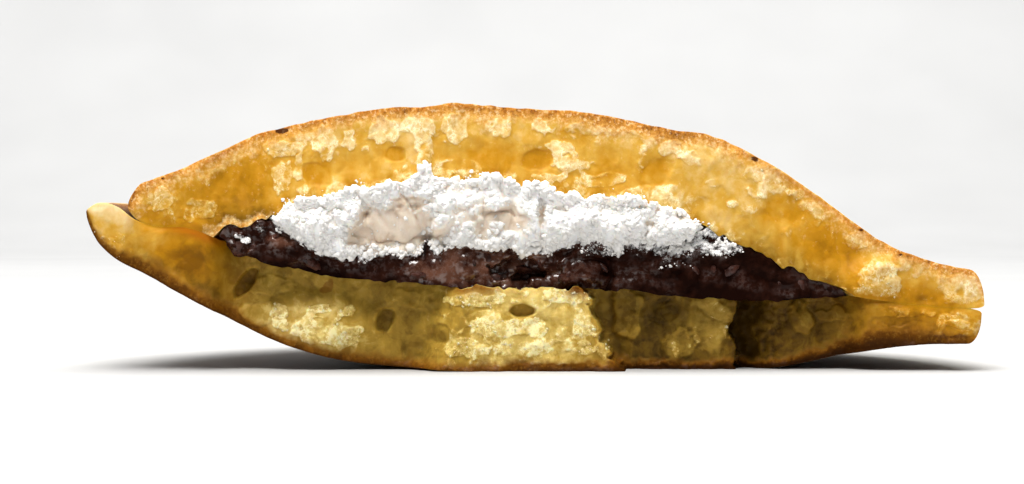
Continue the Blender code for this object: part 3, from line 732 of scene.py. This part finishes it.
def layer_surface(layer, columns, face_steps, back_steps):
    """Points, faces, point values and torn-edge marks of one closed layer.

    The first parameter runs along x from tip to tip, closer together near the tips.  The second runs round a
    closed ring at that x: up the torn face, back over the upper side, round the rim and forward under the
    lower side.  The first two rows behind the face lie close to it, to keep the torn edge crisp.  Each tip is
    a single point.
    """
    disc = layer.disc
    share = np.linspace(-1, 1, columns + 2)[1:-1]
    x = disc.centre + disc.radius * ((1 - CROWD) * share + CROWD * np.sin(np.pi / 2 * share))
    from_centre = np.abs(x - disc.centre) / disc.radius
    rim_y, true_depth = rim_depth(layer, x)

    rise = np.linspace(0, 1, face_steps + 1)
    points, face = face_at(layer, x[:, None] + 0 * rise, rise + 0 * x[:, None])

    steps = np.concatenate([EDGE_ROWS, 1 - (1 - np.arange(1, back_steps) / back_steps) ** ROW_CROWD])
    back = steps + 0 * x[:, None]
    out = np.hypot(from_centre[:, None], back * true_depth[:, None] / disc.radius)
    spread_x = x[:, None] + 0 * back
    y_high = points[:, -1:, 1] + (rim_y[:, None] - points[:, -1:, 1]) * back
    y_low = points[:, :1, 1] + (rim_y[:, None] - points[:, :1, 1]) * back
    over = np.stack([spread_x, y_high, sides(layer, spread_x, y_high, out)[1]], axis=-1)
    under = np.stack([spread_x, y_low, sides(layer, spread_x, y_low, out)[0]], axis=-1)
    rim = np.stack([x, rim_y, rim_height(layer, x, rim_y)], axis=-1)[:, None, :]
    ring = np.concatenate([points, over, rim, under[:, ::-1]], axis=1)
    around = ring.shape[1]

    tip_x = np.array([disc.centre - disc.radius, disc.centre + disc.radius])
    tip_y = layer.line(tip_x)
    tips = np.stack([tip_x, tip_y, rim_height(layer, tip_x, tip_y)], axis=-1)

    uneven = 0.012 * waves(spread_x / 3, y_high / 3, 95) + 0.006 * waves(spread_x / 0.9, y_high / 0.9, 96)
    browned = (LOWER_BAKE if layer.outer == "below" else UPPER_BAKE) * ease((0.985 + uneven - out) / 0.06)
    pale_rim = ease((out - 0.9) / 0.09)
    plain = 0 * out
    outer_tone = 0.55 + 0.2 * pale_rim
    # The inner sides brown towards the rim: real browning, raised as painted shadow in the corner between the
    # cakes.
    inner_crust = 0.12 + 0.7 * ease((out - 0.84) / 0.07) * (1 - pale_rim)
    outer_tint = (0 if layer.outer == "none" else 0.8) + plain
    sides_crust = {"above": (browned, inner_crust), "below": (inner_crust, browned), "none": (plain, plain)}
    values = {
        "tone": (face.tone, *behind_edges(outer_tone, face.tone, y_high, y_low)),
        "tint": (face.tint, *behind_edges(outer_tint, face.tint, y_high, y_low)),
        "crust": (face.crust, *sides_crust[layer.outer]),
        "froth": (face.froth, plain, plain),
    }
    point_values = {}
    for name, (on_face, above, below) in values.items():
        at_rim = (above[:, -1:] + below[:, -1:]) / 2
        rows = np.concatenate([on_face, above, at_rim, below[:, ::-1]], axis=1)
        ends = [rows[0].mean(), rows[-1].mean()]
        point_values[name] = np.concatenate([rows.ravel(), ends])

    vertices = np.concatenate([ring.reshape(-1, 3), tips])
    torn_edge = np.zeros(len(vertices), dtype=bool)
    torn_edge[np.arange(columns) * around] = True
    torn_edge[np.arange(columns) * around + face_steps] = True
    return vertices, closed_faces(columns, around), point_values, torn_edge


def to_frame(points):
    """Move points from the tear's own millimetres into the frame, in metres."""
    return (points + np.array([0, tear_shift, 0])) * MM


def add_object(name, data):
    """Put a mesh, a camera or a light into the scene as an object."""
    added = bpy.data.objects.new(name, data)
    bpy.context.scene.collection.objects.link(added)
    return added


def make_piece(name, points, face_groups, material, point_values, torn_edge=None):
    """Make a mesh object from points in millimetres and groups of equal-sided faces.

    It is smooth-shaded, and sharp where an edge joins two points that are marked in `torn_edge`.
    """
    mesh = bpy.data.meshes.new(name)
    corners = np.concatenate([group.ravel() for group in face_groups])
    sizes = np.concatenate([np.full(len(group), group.shape[1]) for group in face_groups])
    starts = np.concatenate([[0], np.cumsum(sizes)[:-1]])
    mesh.vertices.add(len(points))
    mesh.vertices.foreach_set("co", to_frame(points).astype(np.float32).ravel())
    mesh.loops.add(len(corners))
    mesh.loops.foreach_set("vertex_index", corners.astype(np.int32))
    mesh.polygons.add(len(sizes))
    mesh.polygons.foreach_set("loop_start", starts.astype(np.int32))
    mesh.update(calc_edges=True)
    mesh.validate()
    for value_name, values in point_values.items():
        layer = mesh.attributes.new(value_name, "FLOAT", "POINT")
        layer.data.foreach_set("value", values.astype(np.float32))
    mesh.materials.append(material)
    mesh.shade_smooth()
    if torn_edge is not None:
        ends = np.empty(2 * len(mesh.edges), dtype=np.int32)
        mesh.edges.foreach_get("vertices", ends)
        mesh.edges.foreach_set("use_edge_sharp", torn_edge[ends.reshape(-1, 2)].all(axis=1))
    return add_object(name, mesh)


def blobs(centres, sizes, flatness, roughness, seed, segments, rings):
    """Points and faces of many small closed blobs.

    Each is a sphere of `rings` rings of `segments` points between two poles, every point moved in or out by
    chance, pressed to `flatness` of its height, turned at random and carried to its centre.
    """
    count = len(centres)
    polar = np.pi * np.arange(1, rings + 1) / (rings + 1)
    turn = 2 * np.pi * np.arange(segments) / segments
    ring = np.stack([np.sin(polar)[:, None] * np.cos(turn), np.sin(polar)[:, None] * np.sin(turn),
                     np.cos(polar)[:, None] + 0 * turn], axis=-1).reshape(-1, 3)
    unit = np.concatenate([ring, [[0, 0, 1], [0, 0, -1]]])
    draw = np.random.default_rng(seed)
    reach = 1 + roughness * draw.uniform(-1, 1, (count, len(unit), 1))
    stretch = draw.uniform(0.75, 1.25, (count, 1, 3)) * np.array([1, 1, flatness])
    local = unit * reach * stretch * sizes[:, None, None]
    axes = np.linalg.qr(draw.normal(size=(count, 3, 3)))[0]
    axes *= np.sign(np.linalg.det(axes))[:, None, None]
    points = np.einsum("nij,nkj->nki", axes, local) + centres[:, None, :]

    offset = (np.arange(count) * len(unit))[:, None, None]
    groups = [(group + offset).reshape(-1, group.shape[1]) for group in closed_faces(rings, segments)]
    return points.reshape(-1, 3), groups


def scatter(name, material, layer, wanted, count, seed, sink, sizes, flatness, roughness,
            segments=6, rings=3):
    """Make one joined piece of up to `count` blobs that lie on a layer's torn face and ride with the pancake.

    Places are drawn evenly over the face and kept by the chance that `wanted` gives them.  Each is `sink` of
    its own size behind the surface, and small ones are commoner than large ones.
    """
    draw = np.random.default_rng(seed)
    disc = layer.disc
    x = disc.centre + disc.radius * draw.uniform(-SCATTER_REACH, SCATTER_REACH, count * TRIES)
    rise = draw.uniform(0, 1, count * TRIES)
    points, face = face_at(layer, x, rise)
    thickness = layer.upper(x, 0 * x) - layer.lower(x, 0 * x)
    chance_to_keep = wanted(points[:, 0], points[:, 2], rise, face) * thickness / thickness.max()
    kept = np.flatnonzero(draw.uniform(0, 1, len(x)) < chance_to_keep)[:count]
    smallest, largest = sizes
    radii = smallest + (largest - smallest) * draw.uniform(0, 1, len(kept)) ** 3
    centres = points[kept]
    centres[:, 1] += sink * radii
    points, groups = blobs(centres, radii, flatness, roughness, seed + 1, segments, rings)
    piece = make_piece(name, points, groups, material, {})
    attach(piece, "root")


# ---------------------------------------------------------------- materials


class Recipe:
    """Builds one material: a Principled shader and the nodes that feed it."""

    def __init__(self, name):
        self.material = bpy.data.materials.new(name)
        self.material.use_nodes = True
        self.tree = self.material.node_tree
        self.place = self.node("ShaderNodeTexCoord", "Object", {})

    def feed(self, inputs, sources):
        """Link each source into the input of its name, or set the input to it if it is a number or colour."""
        for name, source in sources.items():
            if isinstance(source, bpy.types.NodeSocket):
                self.tree.links.new(source, inputs[name])
            else:
                inputs[name].default_value = source

    def node(self, kind, output, sources, **settings):
        """Add a node with these settings and sources, and give back one of its outputs."""
        node = self.tree.nodes.new(kind)
        for name, value in settings.items():
            setattr(node, name, value)
        self.feed(node.inputs, sources)
        return node.outputs[output]

    def value(self, name):
        return self.node("ShaderNodeAttribute", "Fac", {}, attribute_name=name)

    def noise(self, size_mm, detail=3, roughness=0.55, distortion=0):
        """Noise whose features are about `size_mm` across, from 0 to 1."""
        sources = {"Vector": self.place, "Scale": 1 / (size_mm * MM), "Detail": detail,
                   "Roughness": roughness, "Distortion": distortion}
        return self.node("ShaderNodeTexNoise", "Fac", sources)

    def pores(self, size_mm):
        """Distance to the nearest of scattered points about `size_mm` apart."""
        sources = {"Vector": self.place, "Scale": 1 / (size_mm * MM)}
        return self.node("ShaderNodeTexVoronoi", "Distance", sources)

    def maths(self, operation, first, second, clamp=False):
        return self.node("ShaderNodeMath", 0, {0: first, 1: second}, operation=operation, use_clamp=clamp)

    def plus(self, first, second, clamp=False):
        return self.maths("ADD", first, second, clamp)

    def times(self, first, second):
        return self.maths("MULTIPLY", first, second)

    def spread(self, source, low, high, out_low=0, out_high=1):
        """Map low..high to out_low..out_high, and stop there."""
        sources = {"Value": source, "From Min": low, "From Max": high, "To Min": out_low, "To Max": out_high}
        return self.node("ShaderNodeMapRange", "Result", sources)

    def ramp(self, source, stops):
        """Colour ramp through (place, colour) stops."""
        ramped = self.node("ShaderNodeValToRGB", "Color", {"Fac": source})
        elements = ramped.node.color_ramp.elements
        for element, (place, colour) in zip(elements, (stops[0], stops[-1])):
            element.position, element.color = place, (*colour, 1)
        for place, colour in stops[1:-1]:
            elements.new(place).color = (*colour, 1)
        return ramped

    def mix(self, factor, first, second):
        return self.node("ShaderNodeMix", 2, {"Factor": factor, 6: first, 7: second}, data_type="RGBA")

    def bump(self, height, depth_mm, strength, under=None):
        sources = {"Height": height, "Distance": depth_mm * MM, "Strength": strength}
        if under is not None:
            sources["Normal"] = under
        return self.node("ShaderNodeBump", "Normal", sources)

    def finish(self, colour, roughness, normal, subsurface, radius_mm, gloss):
        self.feed(self.tree.nodes["Principled BSDF"].inputs, {
            "Base Color": colour, "Roughness": roughness, "Normal": normal, "Subsurface Weight": subsurface,
            "Subsurface Radius": [MM * radius for radius in radius_mm], "Subsurface Scale": 1,
            "Specular IOR Level": gloss})
        return self.material


def cake_finish(name, crust_stops, graininess):
    """Griddle cake: moist crumb from golden or olive to pale lacy froth, under a browned grainy crust.

    Froth shows where a ragged noise, lifted by the froth value, passes a limit; curling streaks of painted
    highlight, for wet glints, run through it along the middle values of another noise.  The crumb below is
    toned in overlapping soft plates, which are two slow noises cut at their middle.  The crust's inner edge
    is broken up by a third one.
    """
    recipe = Recipe(name)
    value, noise, spread, mix = recipe.value, recipe.noise, recipe.spread, recipe.mix
    plus, times, ramp, bump = recipe.plus, recipe.times, recipe.ramp, recipe.bump
    tint = value("tint")
    lace = plus(noise(0.75, 6, 0.72, 0.5), spread(value("froth"), 0, 1, -0.26, 0.22))
    frothed = spread(lace, 0.41, 0.65)
    from_middle = recipe.maths("ABSOLUTE", recipe.maths("SUBTRACT", noise(0.75, 3, 0.6, 0.8), 0.5), 0)
    painted_glint_curls = times(spread(from_middle, 0, 0.06, 1, 0), spread(noise(1.3, 2), 0.42, 0.58))
    lumps = spread(noise(0.5, 3, 0.6, 0.3), 0.35, 0.65, -0.07, 0.15)
    froth_tone = plus(plus(lumps, 0.155), times(painted_glint_curls, 0.28))
    plates = plus(spread(noise(2.4, 5, 0.62, 0.7), 0.465, 0.535, -0.5, 0.5),
                  spread(noise(1.1, 4, 0.6, 0.5), 0.46, 0.54, -0.3, 0.3))
    plates = times(plates, spread(tint, 0.3, 0.9, 0.09, 0.035))
    cloud = spread(noise(1.1, 5, 0.7), 0.3, 0.7, -0.05, 0.05)
    tone = plus(plus(plus(value("tone"), cloud), plates), times(froth_tone, frothed), clamp=True)
    crumb_colour = mix(recipe.maths("MINIMUM", tint, 1), ramp(tone, OLIVE), ramp(tone, AMBER))
    crumb_colour = mix(spread(tint, 1.05, 1.6), crumb_colour, (*STREAK, 1))

    crust = value("crust")
    at_tear = spread(crust, 0.7, 0.8, 1, 0.15)
    specks = times(at_tear, spread(noise(0.45, 4, 0.7), 0.3, 0.7, -0.6 * graininess, 0.6 * graininess))
    mottle = plus(specks, spread(noise(7, 7, 0.62), 0.3, 0.7, -0.11, 0.11))
    crust_colour = ramp(plus(crust, mottle, clamp=True), crust_stops)
    reach = plus(crust, spread(noise(0.7, 5, 0.7), 0.3, 0.7, -0.25 * graininess, 0.25 * graininess))
    colour = mix(spread(reach, 0.08, 0.45), crumb_colour, crust_colour)
    # Pale specks on the crust by the tear: partly its grain, partly painted highlights.
    grains = times(spread(noise(0.38, 2, 0.6), 0.55, 0.65, 0, graininess), spread(crust, 0.25, 0.4))
    colour = mix(times(grains, at_tear), colour, (*crust_stops[0][1], 1))

    raised = plus(frothed, times(noise(0.45, 3, 0.6), spread(frothed, 0, 1, 0.3, 1.2)))
    pored = bump(spread(recipe.pores(0.8), 0, 0.35), 0.08, 0.2, bump(raised, 0.06, 0.5))
    normal = bump(noise(0.5), 0.12, 0.3, pored)
    roughness = spread(noise(0.35, 3, 0.6), 0.3, 0.7, 0.35, 0.6)
    subsurface = spread(crust, 0.2, 0.9, 0.5, 0.15)
    gloss = times(spread(frothed, 0, 1, 0.1, 0.25), spread(crust, 0.2, 0.6, 1, 0.4))
    return recipe.finish(colour, roughness, normal, subsurface, (1, 0.65, 0.3), gloss)


def bean_finish():
    """Moist crushed beans: dark red brown with wet glints, and feathery starch dust where the tint says."""
    recipe = Recipe("bean_paste_moist")
    value, noise, spread, times = recipe.value, recipe.noise, recipe.spread, recipe.times
    tone = recipe.plus(value("tone"), spread(noise(1.2, 4, 0.6), 0.3, 0.7, -0.25, 0.25), clamp=True)
    paste = recipe.ramp(tone, BEAN)
    flecks = recipe.plus(noise(0.8, 6, 0.75), spread(value("tint"), 0, 1, -0.22, 0.15))
    dust = times(spread(flecks, 0.55, 0.68), spread(value("tint"), 0.05, 0.3))
    colour = recipe.mix(dust, paste, (*DUST, 1))
    smooth = recipe.bump(noise(1, 3, 0.5), 0.2, 0.4)
    normal = recipe.bump(times(dust, noise(0.45, 4, 0.65)), 0.3, 0.8, smooth)
    glint = times(spread(noise(0.6, 3, 0.6), 0.46, 0.58), spread(value("tone"), 0.15, 0.6))
    roughness = spread(glint, 0, 1, 0.45, 0.13)
    return recipe.finish(colour, roughness, normal, 0.05, (0.6, 0.25, 0.15), spread(glint, 0, 1, 0.02, 0.9))


def white_finish():
    """Rice cake under caked starch: chalk white where dusted, warm beige and translucent where bare."""
    recipe = Recipe("rice_cake_dusted")
    grain = recipe.spread(recipe.noise(0.22, 4, 0.65), 0.25, 0.75, -0.1, 0.06)
    colour = recipe.ramp(recipe.plus(recipe.value("tone"), grain, clamp=True), RICE_CAKE)
    normal = recipe.bump(recipe.noise(0.7), 0.18, 0.35, recipe.bump(recipe.noise(0.25, 3, 0.65), 0.06, 0.3))
    bare = recipe.value("tint")
    roughness = recipe.spread(bare, 0.2, 0.8, 0.9, 0.4)
    subsurface = recipe.spread(bare, 0, 1, 0.45, 0.7)
    return recipe.finish(colour, roughness, normal, subsurface, (1.2, 0.9, 0.65), 0.3)


def starch_finish():
    """Dry starch clumps, chalk white with faint grey shade from clump to clump."""
    recipe = Recipe("starch_clumps")
    colour = recipe.ramp(recipe.noise(0.9), ((0.2, (0.88, 0.85, 0.80)), (0.6, (0.97, 0.95, 0.92))))
    normal = recipe.bump(recipe.noise(0.12, 3, 0.65), 0.08, 0.6)
    roughness = recipe.spread(recipe.noise(0.3), 0.3, 0.7, 0.85, 0.97)
    return recipe.finish(colour, roughness, normal, 0.25, (0.5, 0.45, 0.4), 0.3)


def granule_finish():
    """Sugary granules that cling to the torn crumb: pale yellow, moist and translucent."""
    recipe = Recipe("cake_granules_moist")
    colour = recipe.ramp(recipe.noise(0.9, 4, 0.65), ((0.3, (0.90, 0.62, 0.20)), (0.65, (0.98, 0.86, 0.48))))
    normal = recipe.bump(recipe.noise(0.15, 3, 0.6), 0.06, 0.5)
    roughness = recipe.spread(recipe.noise(0.3), 0.3, 0.7, 0.3, 0.5)
    return recipe.finish(colour, roughness, normal, 0.6, (1.2, 0.8, 0.4), 0.25)


def crushed_bean_finish():
    """Skins and halves of crushed beans, wet in places."""
    recipe = Recipe("crushed_beans_wet")
    colour = recipe.ramp(recipe.noise(0.8), ((0.3, (0.010, 0.003, 0.002)), (0.7, (0.07, 0.024, 0.016))))
    normal = recipe.bump(recipe.noise(0.3), 0.12, 0.6)
    roughness = recipe.spread(recipe.noise(0.4), 0.35, 0.65, 0.2, 0.5)
    wetness = recipe.spread(recipe.noise(1.5), 0.4, 0.6, 0.05, 0.5)
    return recipe.finish(colour, roughness, normal, 0.05, (0.6, 0.25, 0.2), wetness)


# ---------------------------------------------------------------- stage, light and camera

IMAGE_WIDTH = 1024
PHOTO_PIXELS_PER_MM = 8.96          # the torn face is 100 mm and 896 pixels wide
PHOTO_CENTRE = (-2.68, 14.4)        # x and z, in mm, of the point of the tear at the middle of the photo
CAMERA_LENS, SENSOR = 90, 36        # mm
CAMERA_ELEVATION = 1                # degrees

KEY_AZIMUTH, KEY_ELEVATION = -20, 64                   # degrees: left of the camera, and above the table
KEY_DISTANCE, KEY_SIZE = 0.6, 0.34                     # metres
KEY_POWER = 5.5                                        # watts
KEY_COLOUR, FILL_COLOUR = (1, 0.985, 0.965), (1, 0.99, 0.98)
FILL_STRENGTH = 0.12
WASH_PLACE, WASH_AIM = (0, 0.25, 1), (0, 0.85, 0.35)   # metres: over the object, at the backdrop
WASH_SIZE, WASH_POWER = 0.9, 19                        # metres and watts


def add_camera():
    """Camera level with the torn face, far enough to show it at the photo's scale."""
    data = bpy.data.cameras.new("camera")
    data.lens, data.sensor_width = CAMERA_LENS, SENSOR
    camera = add_object("camera", data)
    distance = CAMERA_LENS / SENSOR * IMAGE_WIDTH / PHOTO_PIXELS_PER_MM
    tilt = np.radians(CAMERA_ELEVATION)
    target = np.array([PHOTO_CENTRE[0], 0, PHOTO_CENTRE[1]])
    place = target + distance * np.array([0, -np.cos(tilt), np.sin(tilt)])
    camera.location = to_frame(place)
    camera.rotation_euler = (np.radians(90) - tilt, 0, 0)
    data.clip_start, data.clip_end = 0.01, 20
    bpy.context.scene.camera = camera


def add_light(name, place, target, size, power, colour):
    """Square area light at a place in metres, facing a target."""
    data = bpy.data.lights.new(name, "AREA")
    data.shape, data.size, data.energy, data.color = "SQUARE", size, power, colour
    light = add_object(name, data)
    light.location = place
    away = np.array(target, float) - np.array(place, float)
    yaw = np.arctan2(away[1], away[0])
    pitch = np.arctan2(np.hypot(away[0], away[1]), -away[2])
    light.rotation_euler = (pitch, 0, yaw - np.pi / 2)


def add_stage():
    """Pale floor that curves up into a backdrop: a run, a quarter circle and a wall, swept along x."""
    front, run, radius, wall, half_width = -1.6, 0.55, 0.3, 1.3, 2  # metres
    turn = np.linspace(0, np.pi / 2, 13)
    y = np.concatenate([[front], run + radius * np.sin(turn), [run + radius]])
    z = np.concatenate([[0], radius * (1 - np.cos(turn)), [wall]])
    across = np.array([-half_width, half_width])
    grid = np.stack([across[:, None] + 0 * y, y + 0 * across[:, None], z + 0 * across[:, None]], axis=-1)
    steps = np.arange(len(y) - 1)
    quads = np.stack([steps, steps + len(y), steps + len(y) + 1, steps + 1], axis=-1)
    mesh = bpy.data.meshes.new("studio_floor")
    mesh.from_pydata(grid.reshape(-1, 3).tolist(), [], quads.tolist())
    mesh.shade_smooth()
    recipe = Recipe("studio_floor_pale")
    colour = recipe.ramp(recipe.noise(60, 2), ((0.3, (0.45, 0.45, 0.448)), (0.7, (0.48, 0.48, 0.477))))
    normal = recipe.bump(recipe.noise(1), 0.02, 0.3)
    mesh.materials.append(recipe.finish(colour, 0.7, normal, 0, (1, 1, 1), 0.2))
    studio = add_object("studio_floor", mesh)


def add_lights():
    """Soft key from above and a little in front and left, a wash on the backdrop, and a faint even fill."""
    aim = np.array([0, -0.02, 0.014])
    azimuth, elevation = np.radians(KEY_AZIMUTH), np.radians(KEY_ELEVATION)
    level = np.cos(elevation)
    towards = np.array([np.sin(azimuth) * level, -np.cos(azimuth) * level, np.sin(elevation)])
    add_light("key", aim + KEY_DISTANCE * towards, aim, KEY_SIZE, KEY_POWER, KEY_COLOUR)
    add_light("backdrop_wash", WASH_PLACE, WASH_AIM, WASH_SIZE, WASH_POWER, (1, 1, 1))
    world = bpy.data.worlds.new("soft_fill")
    world.use_nodes = True
    background = world.node_tree.nodes["Background"]
    background.inputs["Color"].default_value = (*FILL_COLOUR, 1)
    background.inputs["Strength"].default_value = FILL_STRENGTH
    bpy.context.scene.world = world


# ---------------------------------------------------------------- the pieces


def add_layer(name, node, layer, material, columns, face_steps, back_steps):
    """Make a layer's fine surface in place of its solid."""
    points, groups, values, torn_edge = layer_surface(layer, columns, face_steps, back_steps)
    piece = make_piece(name, points, groups, material, values, torn_edge)
    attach(piece, "root")
    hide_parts(node)


# The tear lies where the back of the lower cake just reaches the back of the solids.
back_x = np.linspace(-30, 30, 601)
tear_shift = cad_high.y / MM - rim_depth(LOWER_CAKE, back_x)[0].max()

# Colours along each ramp, as (place, (red, green, blue)), and the plain ones of the streak and the dust.
# OLIVE is the lower crumb's lemon yellow; its darker stops give the olive it takes in painted shade.
OLIVE = (
    (0, (0.045, 0.022, 0.002)), (0.3, (0.18, 0.1, 0.01)), (0.6, (0.45, 0.28, 0.04)),
    (0.85, (0.77, 0.59, 0.19)), (1, (0.93, 0.83, 0.44)),
)
AMBER = (
    (0, (0.24, 0.097, 0.001)), (0.2, (0.49, 0.22, 0.004)), (0.3, (0.56, 0.265, 0.011)),
    (0.46, (0.64, 0.37, 0.055)), (0.7, (0.8, 0.61, 0.29)), (1, (0.97, 0.91, 0.62)),
)
STREAK = (0.48, 0.155, 0.003)
BEAN = ((0, (0.008, 0.002, 0.001)), (0.5, (0.03, 0.009, 0.005)), (1, (0.13, 0.055, 0.034)))
DUST = (0.92, 0.91, 0.90)
RICE_CAKE = (
    (0, (0.62, 0.49, 0.37)), (0.35, (0.8, 0.69, 0.57)), (0.7, (0.93, 0.88, 0.81)), (1, (0.98, 0.965, 0.94)),
)
UPPER_CRUST = (
    (0, (0.92, 0.7, 0.36)), (0.3, (0.71, 0.365, 0.08)), (0.6, (0.53, 0.22, 0.03)),
    (0.85, (0.27, 0.1, 0.022)), (1, (0.09, 0.03, 0.008)),
)
# The lower crust's colours are darker than the upper's: painted shade, as the lower crust lies in shade.
SHADED_LOWER_CRUST = (
    (0, (0.4, 0.2, 0.032)), (0.3, (0.25, 0.1, 0.008)), (0.6, (0.12, 0.042, 0.003)),
    (0.85, (0.05, 0.016, 0.002)), (1, (0.03, 0.009, 0.001)),
)

cake_lower = cake_finish("lower_cake_crumb_and_crust", SHADED_LOWER_CRUST, 0.2)
cake_upper = cake_finish("upper_cake_crumb_and_crust", UPPER_CRUST, 0.6)

# The last numbers are the columns of points along the tear, and the steps up the face and back from it.
add_layer("lower_cake", "pancake_bottom", LOWER_CAKE, cake_lower, 720, 92, 20)
add_layer("bean_paste_layer", "bean_paste", BEAN_PASTE, bean_finish(), 520, 48, 10)
add_layer("rice_cake_mound", "white_filling", WHITE_FILLING, white_finish(), 560, 110, 12)
add_layer("upper_cake", "pancake_top", UPPER_CAKE, cake_upper, 720, 92, 20)


def on_heap(x, z, rise, face):
    """Starch grains lie all over the heap but for its bare places, and thickest along its lower edge."""
    return (1 - 0.95 * face.tint) * (0.5 + 0.5 * ease((0.3 - rise) / 0.3))


def along_heap_edges(x, z, rise, face):
    """Lumps of starch along the upper and lower edges of the heap hide the lines between the layers."""
    return bell((1 - rise) / 0.09) + 0.8 * bell(rise / 0.09)


def under_heap(x, z, rise, face):
    """Starch fallen on the bean paste, thickest just under the heap and at the right, where its tint says."""
    return face.tint ** 3 * ease(2.5 * waves(x / 1.3, z / 0.9, 111) + 0.6)


def over_heap(x, z, rise, face):
    """Starch on the upper cake's lower edge, above the heap."""
    return bell(rise / 0.07) * ease((27 - np.abs(x + 6)) / 4) * ease(2 * ripples(x / 1.5, 113))


def in_froth(x, z, rise, face):
    """Granules cling here and there in the froth, and most to the bright mound at the right."""
    return face.froth ** 3 * (0.06 + np.clip(mounds(x, z, TOP_MOUNDS), 0, 1))


def on_lower_froth(x, z, rise, face):
    """Granules of the lower cake: in its froth, and along the lower left edge of the untorn end."""
    in_its_froth = 0.6 * face.froth ** 3 * ease((rise - 0.1) / 0.1) * ease(34 - x)
    return in_its_froth + 0.08 * lobe(x) * bell((rise - 0.15) / 0.1)


def in_smears(x, z, rise, face):
    """Crushed beans lie in the smeared paste, away from its upper and lower edges."""
    return (0.3 + 0.7 * face.froth) * ease((0.4 - np.abs(rise - 0.5)) / 0.1) * ease((0.2 - face.tint) / 0.1)


starch = starch_finish()
granule = granule_finish()
scatter("starch_on_heap", starch, WHITE_FILLING, on_heap,
        count=2600, seed=101, sink=0.45, sizes=(0.1, 0.45), flatness=0.8, roughness=0.4)
scatter("starch_lumps", starch, WHITE_FILLING, along_heap_edges,
        count=520, seed=107, sink=0.3, sizes=(0.2, 0.6), flatness=0.85, roughness=0.35)
scatter("starch_on_beans", starch, BEAN_PASTE, under_heap,
        count=2200, seed=103, sink=0.3, sizes=(0.06, 0.27), flatness=0.8, roughness=0.4)
scatter("starch_on_upper_cake", starch, UPPER_CAKE, over_heap,
        count=500, seed=105, sink=0, sizes=(0.06, 0.26), flatness=0.8, roughness=0.4)
scatter("granules_on_upper_cake", granule, UPPER_CAKE, in_froth,
        count=190, seed=121, sink=0.5, sizes=(0.06, 0.2), flatness=0.8, roughness=0.35)
scatter("granules_on_lower_cake", granule, LOWER_CAKE, on_lower_froth,
        count=450, seed=123, sink=0.5, sizes=(0.06, 0.22), flatness=0.8, roughness=0.35)
scatter("crushed_beans", crushed_bean_finish(), BEAN_PASTE, in_smears,
        count=36, seed=125, sink=0.8, sizes=(0.8, 2), flatness=0.5, roughness=0.06, segments=12, rings=7)

add_camera()
add_lights()
add_stage()
bpy.context.scene.view_settings.view_transform = "Standard"
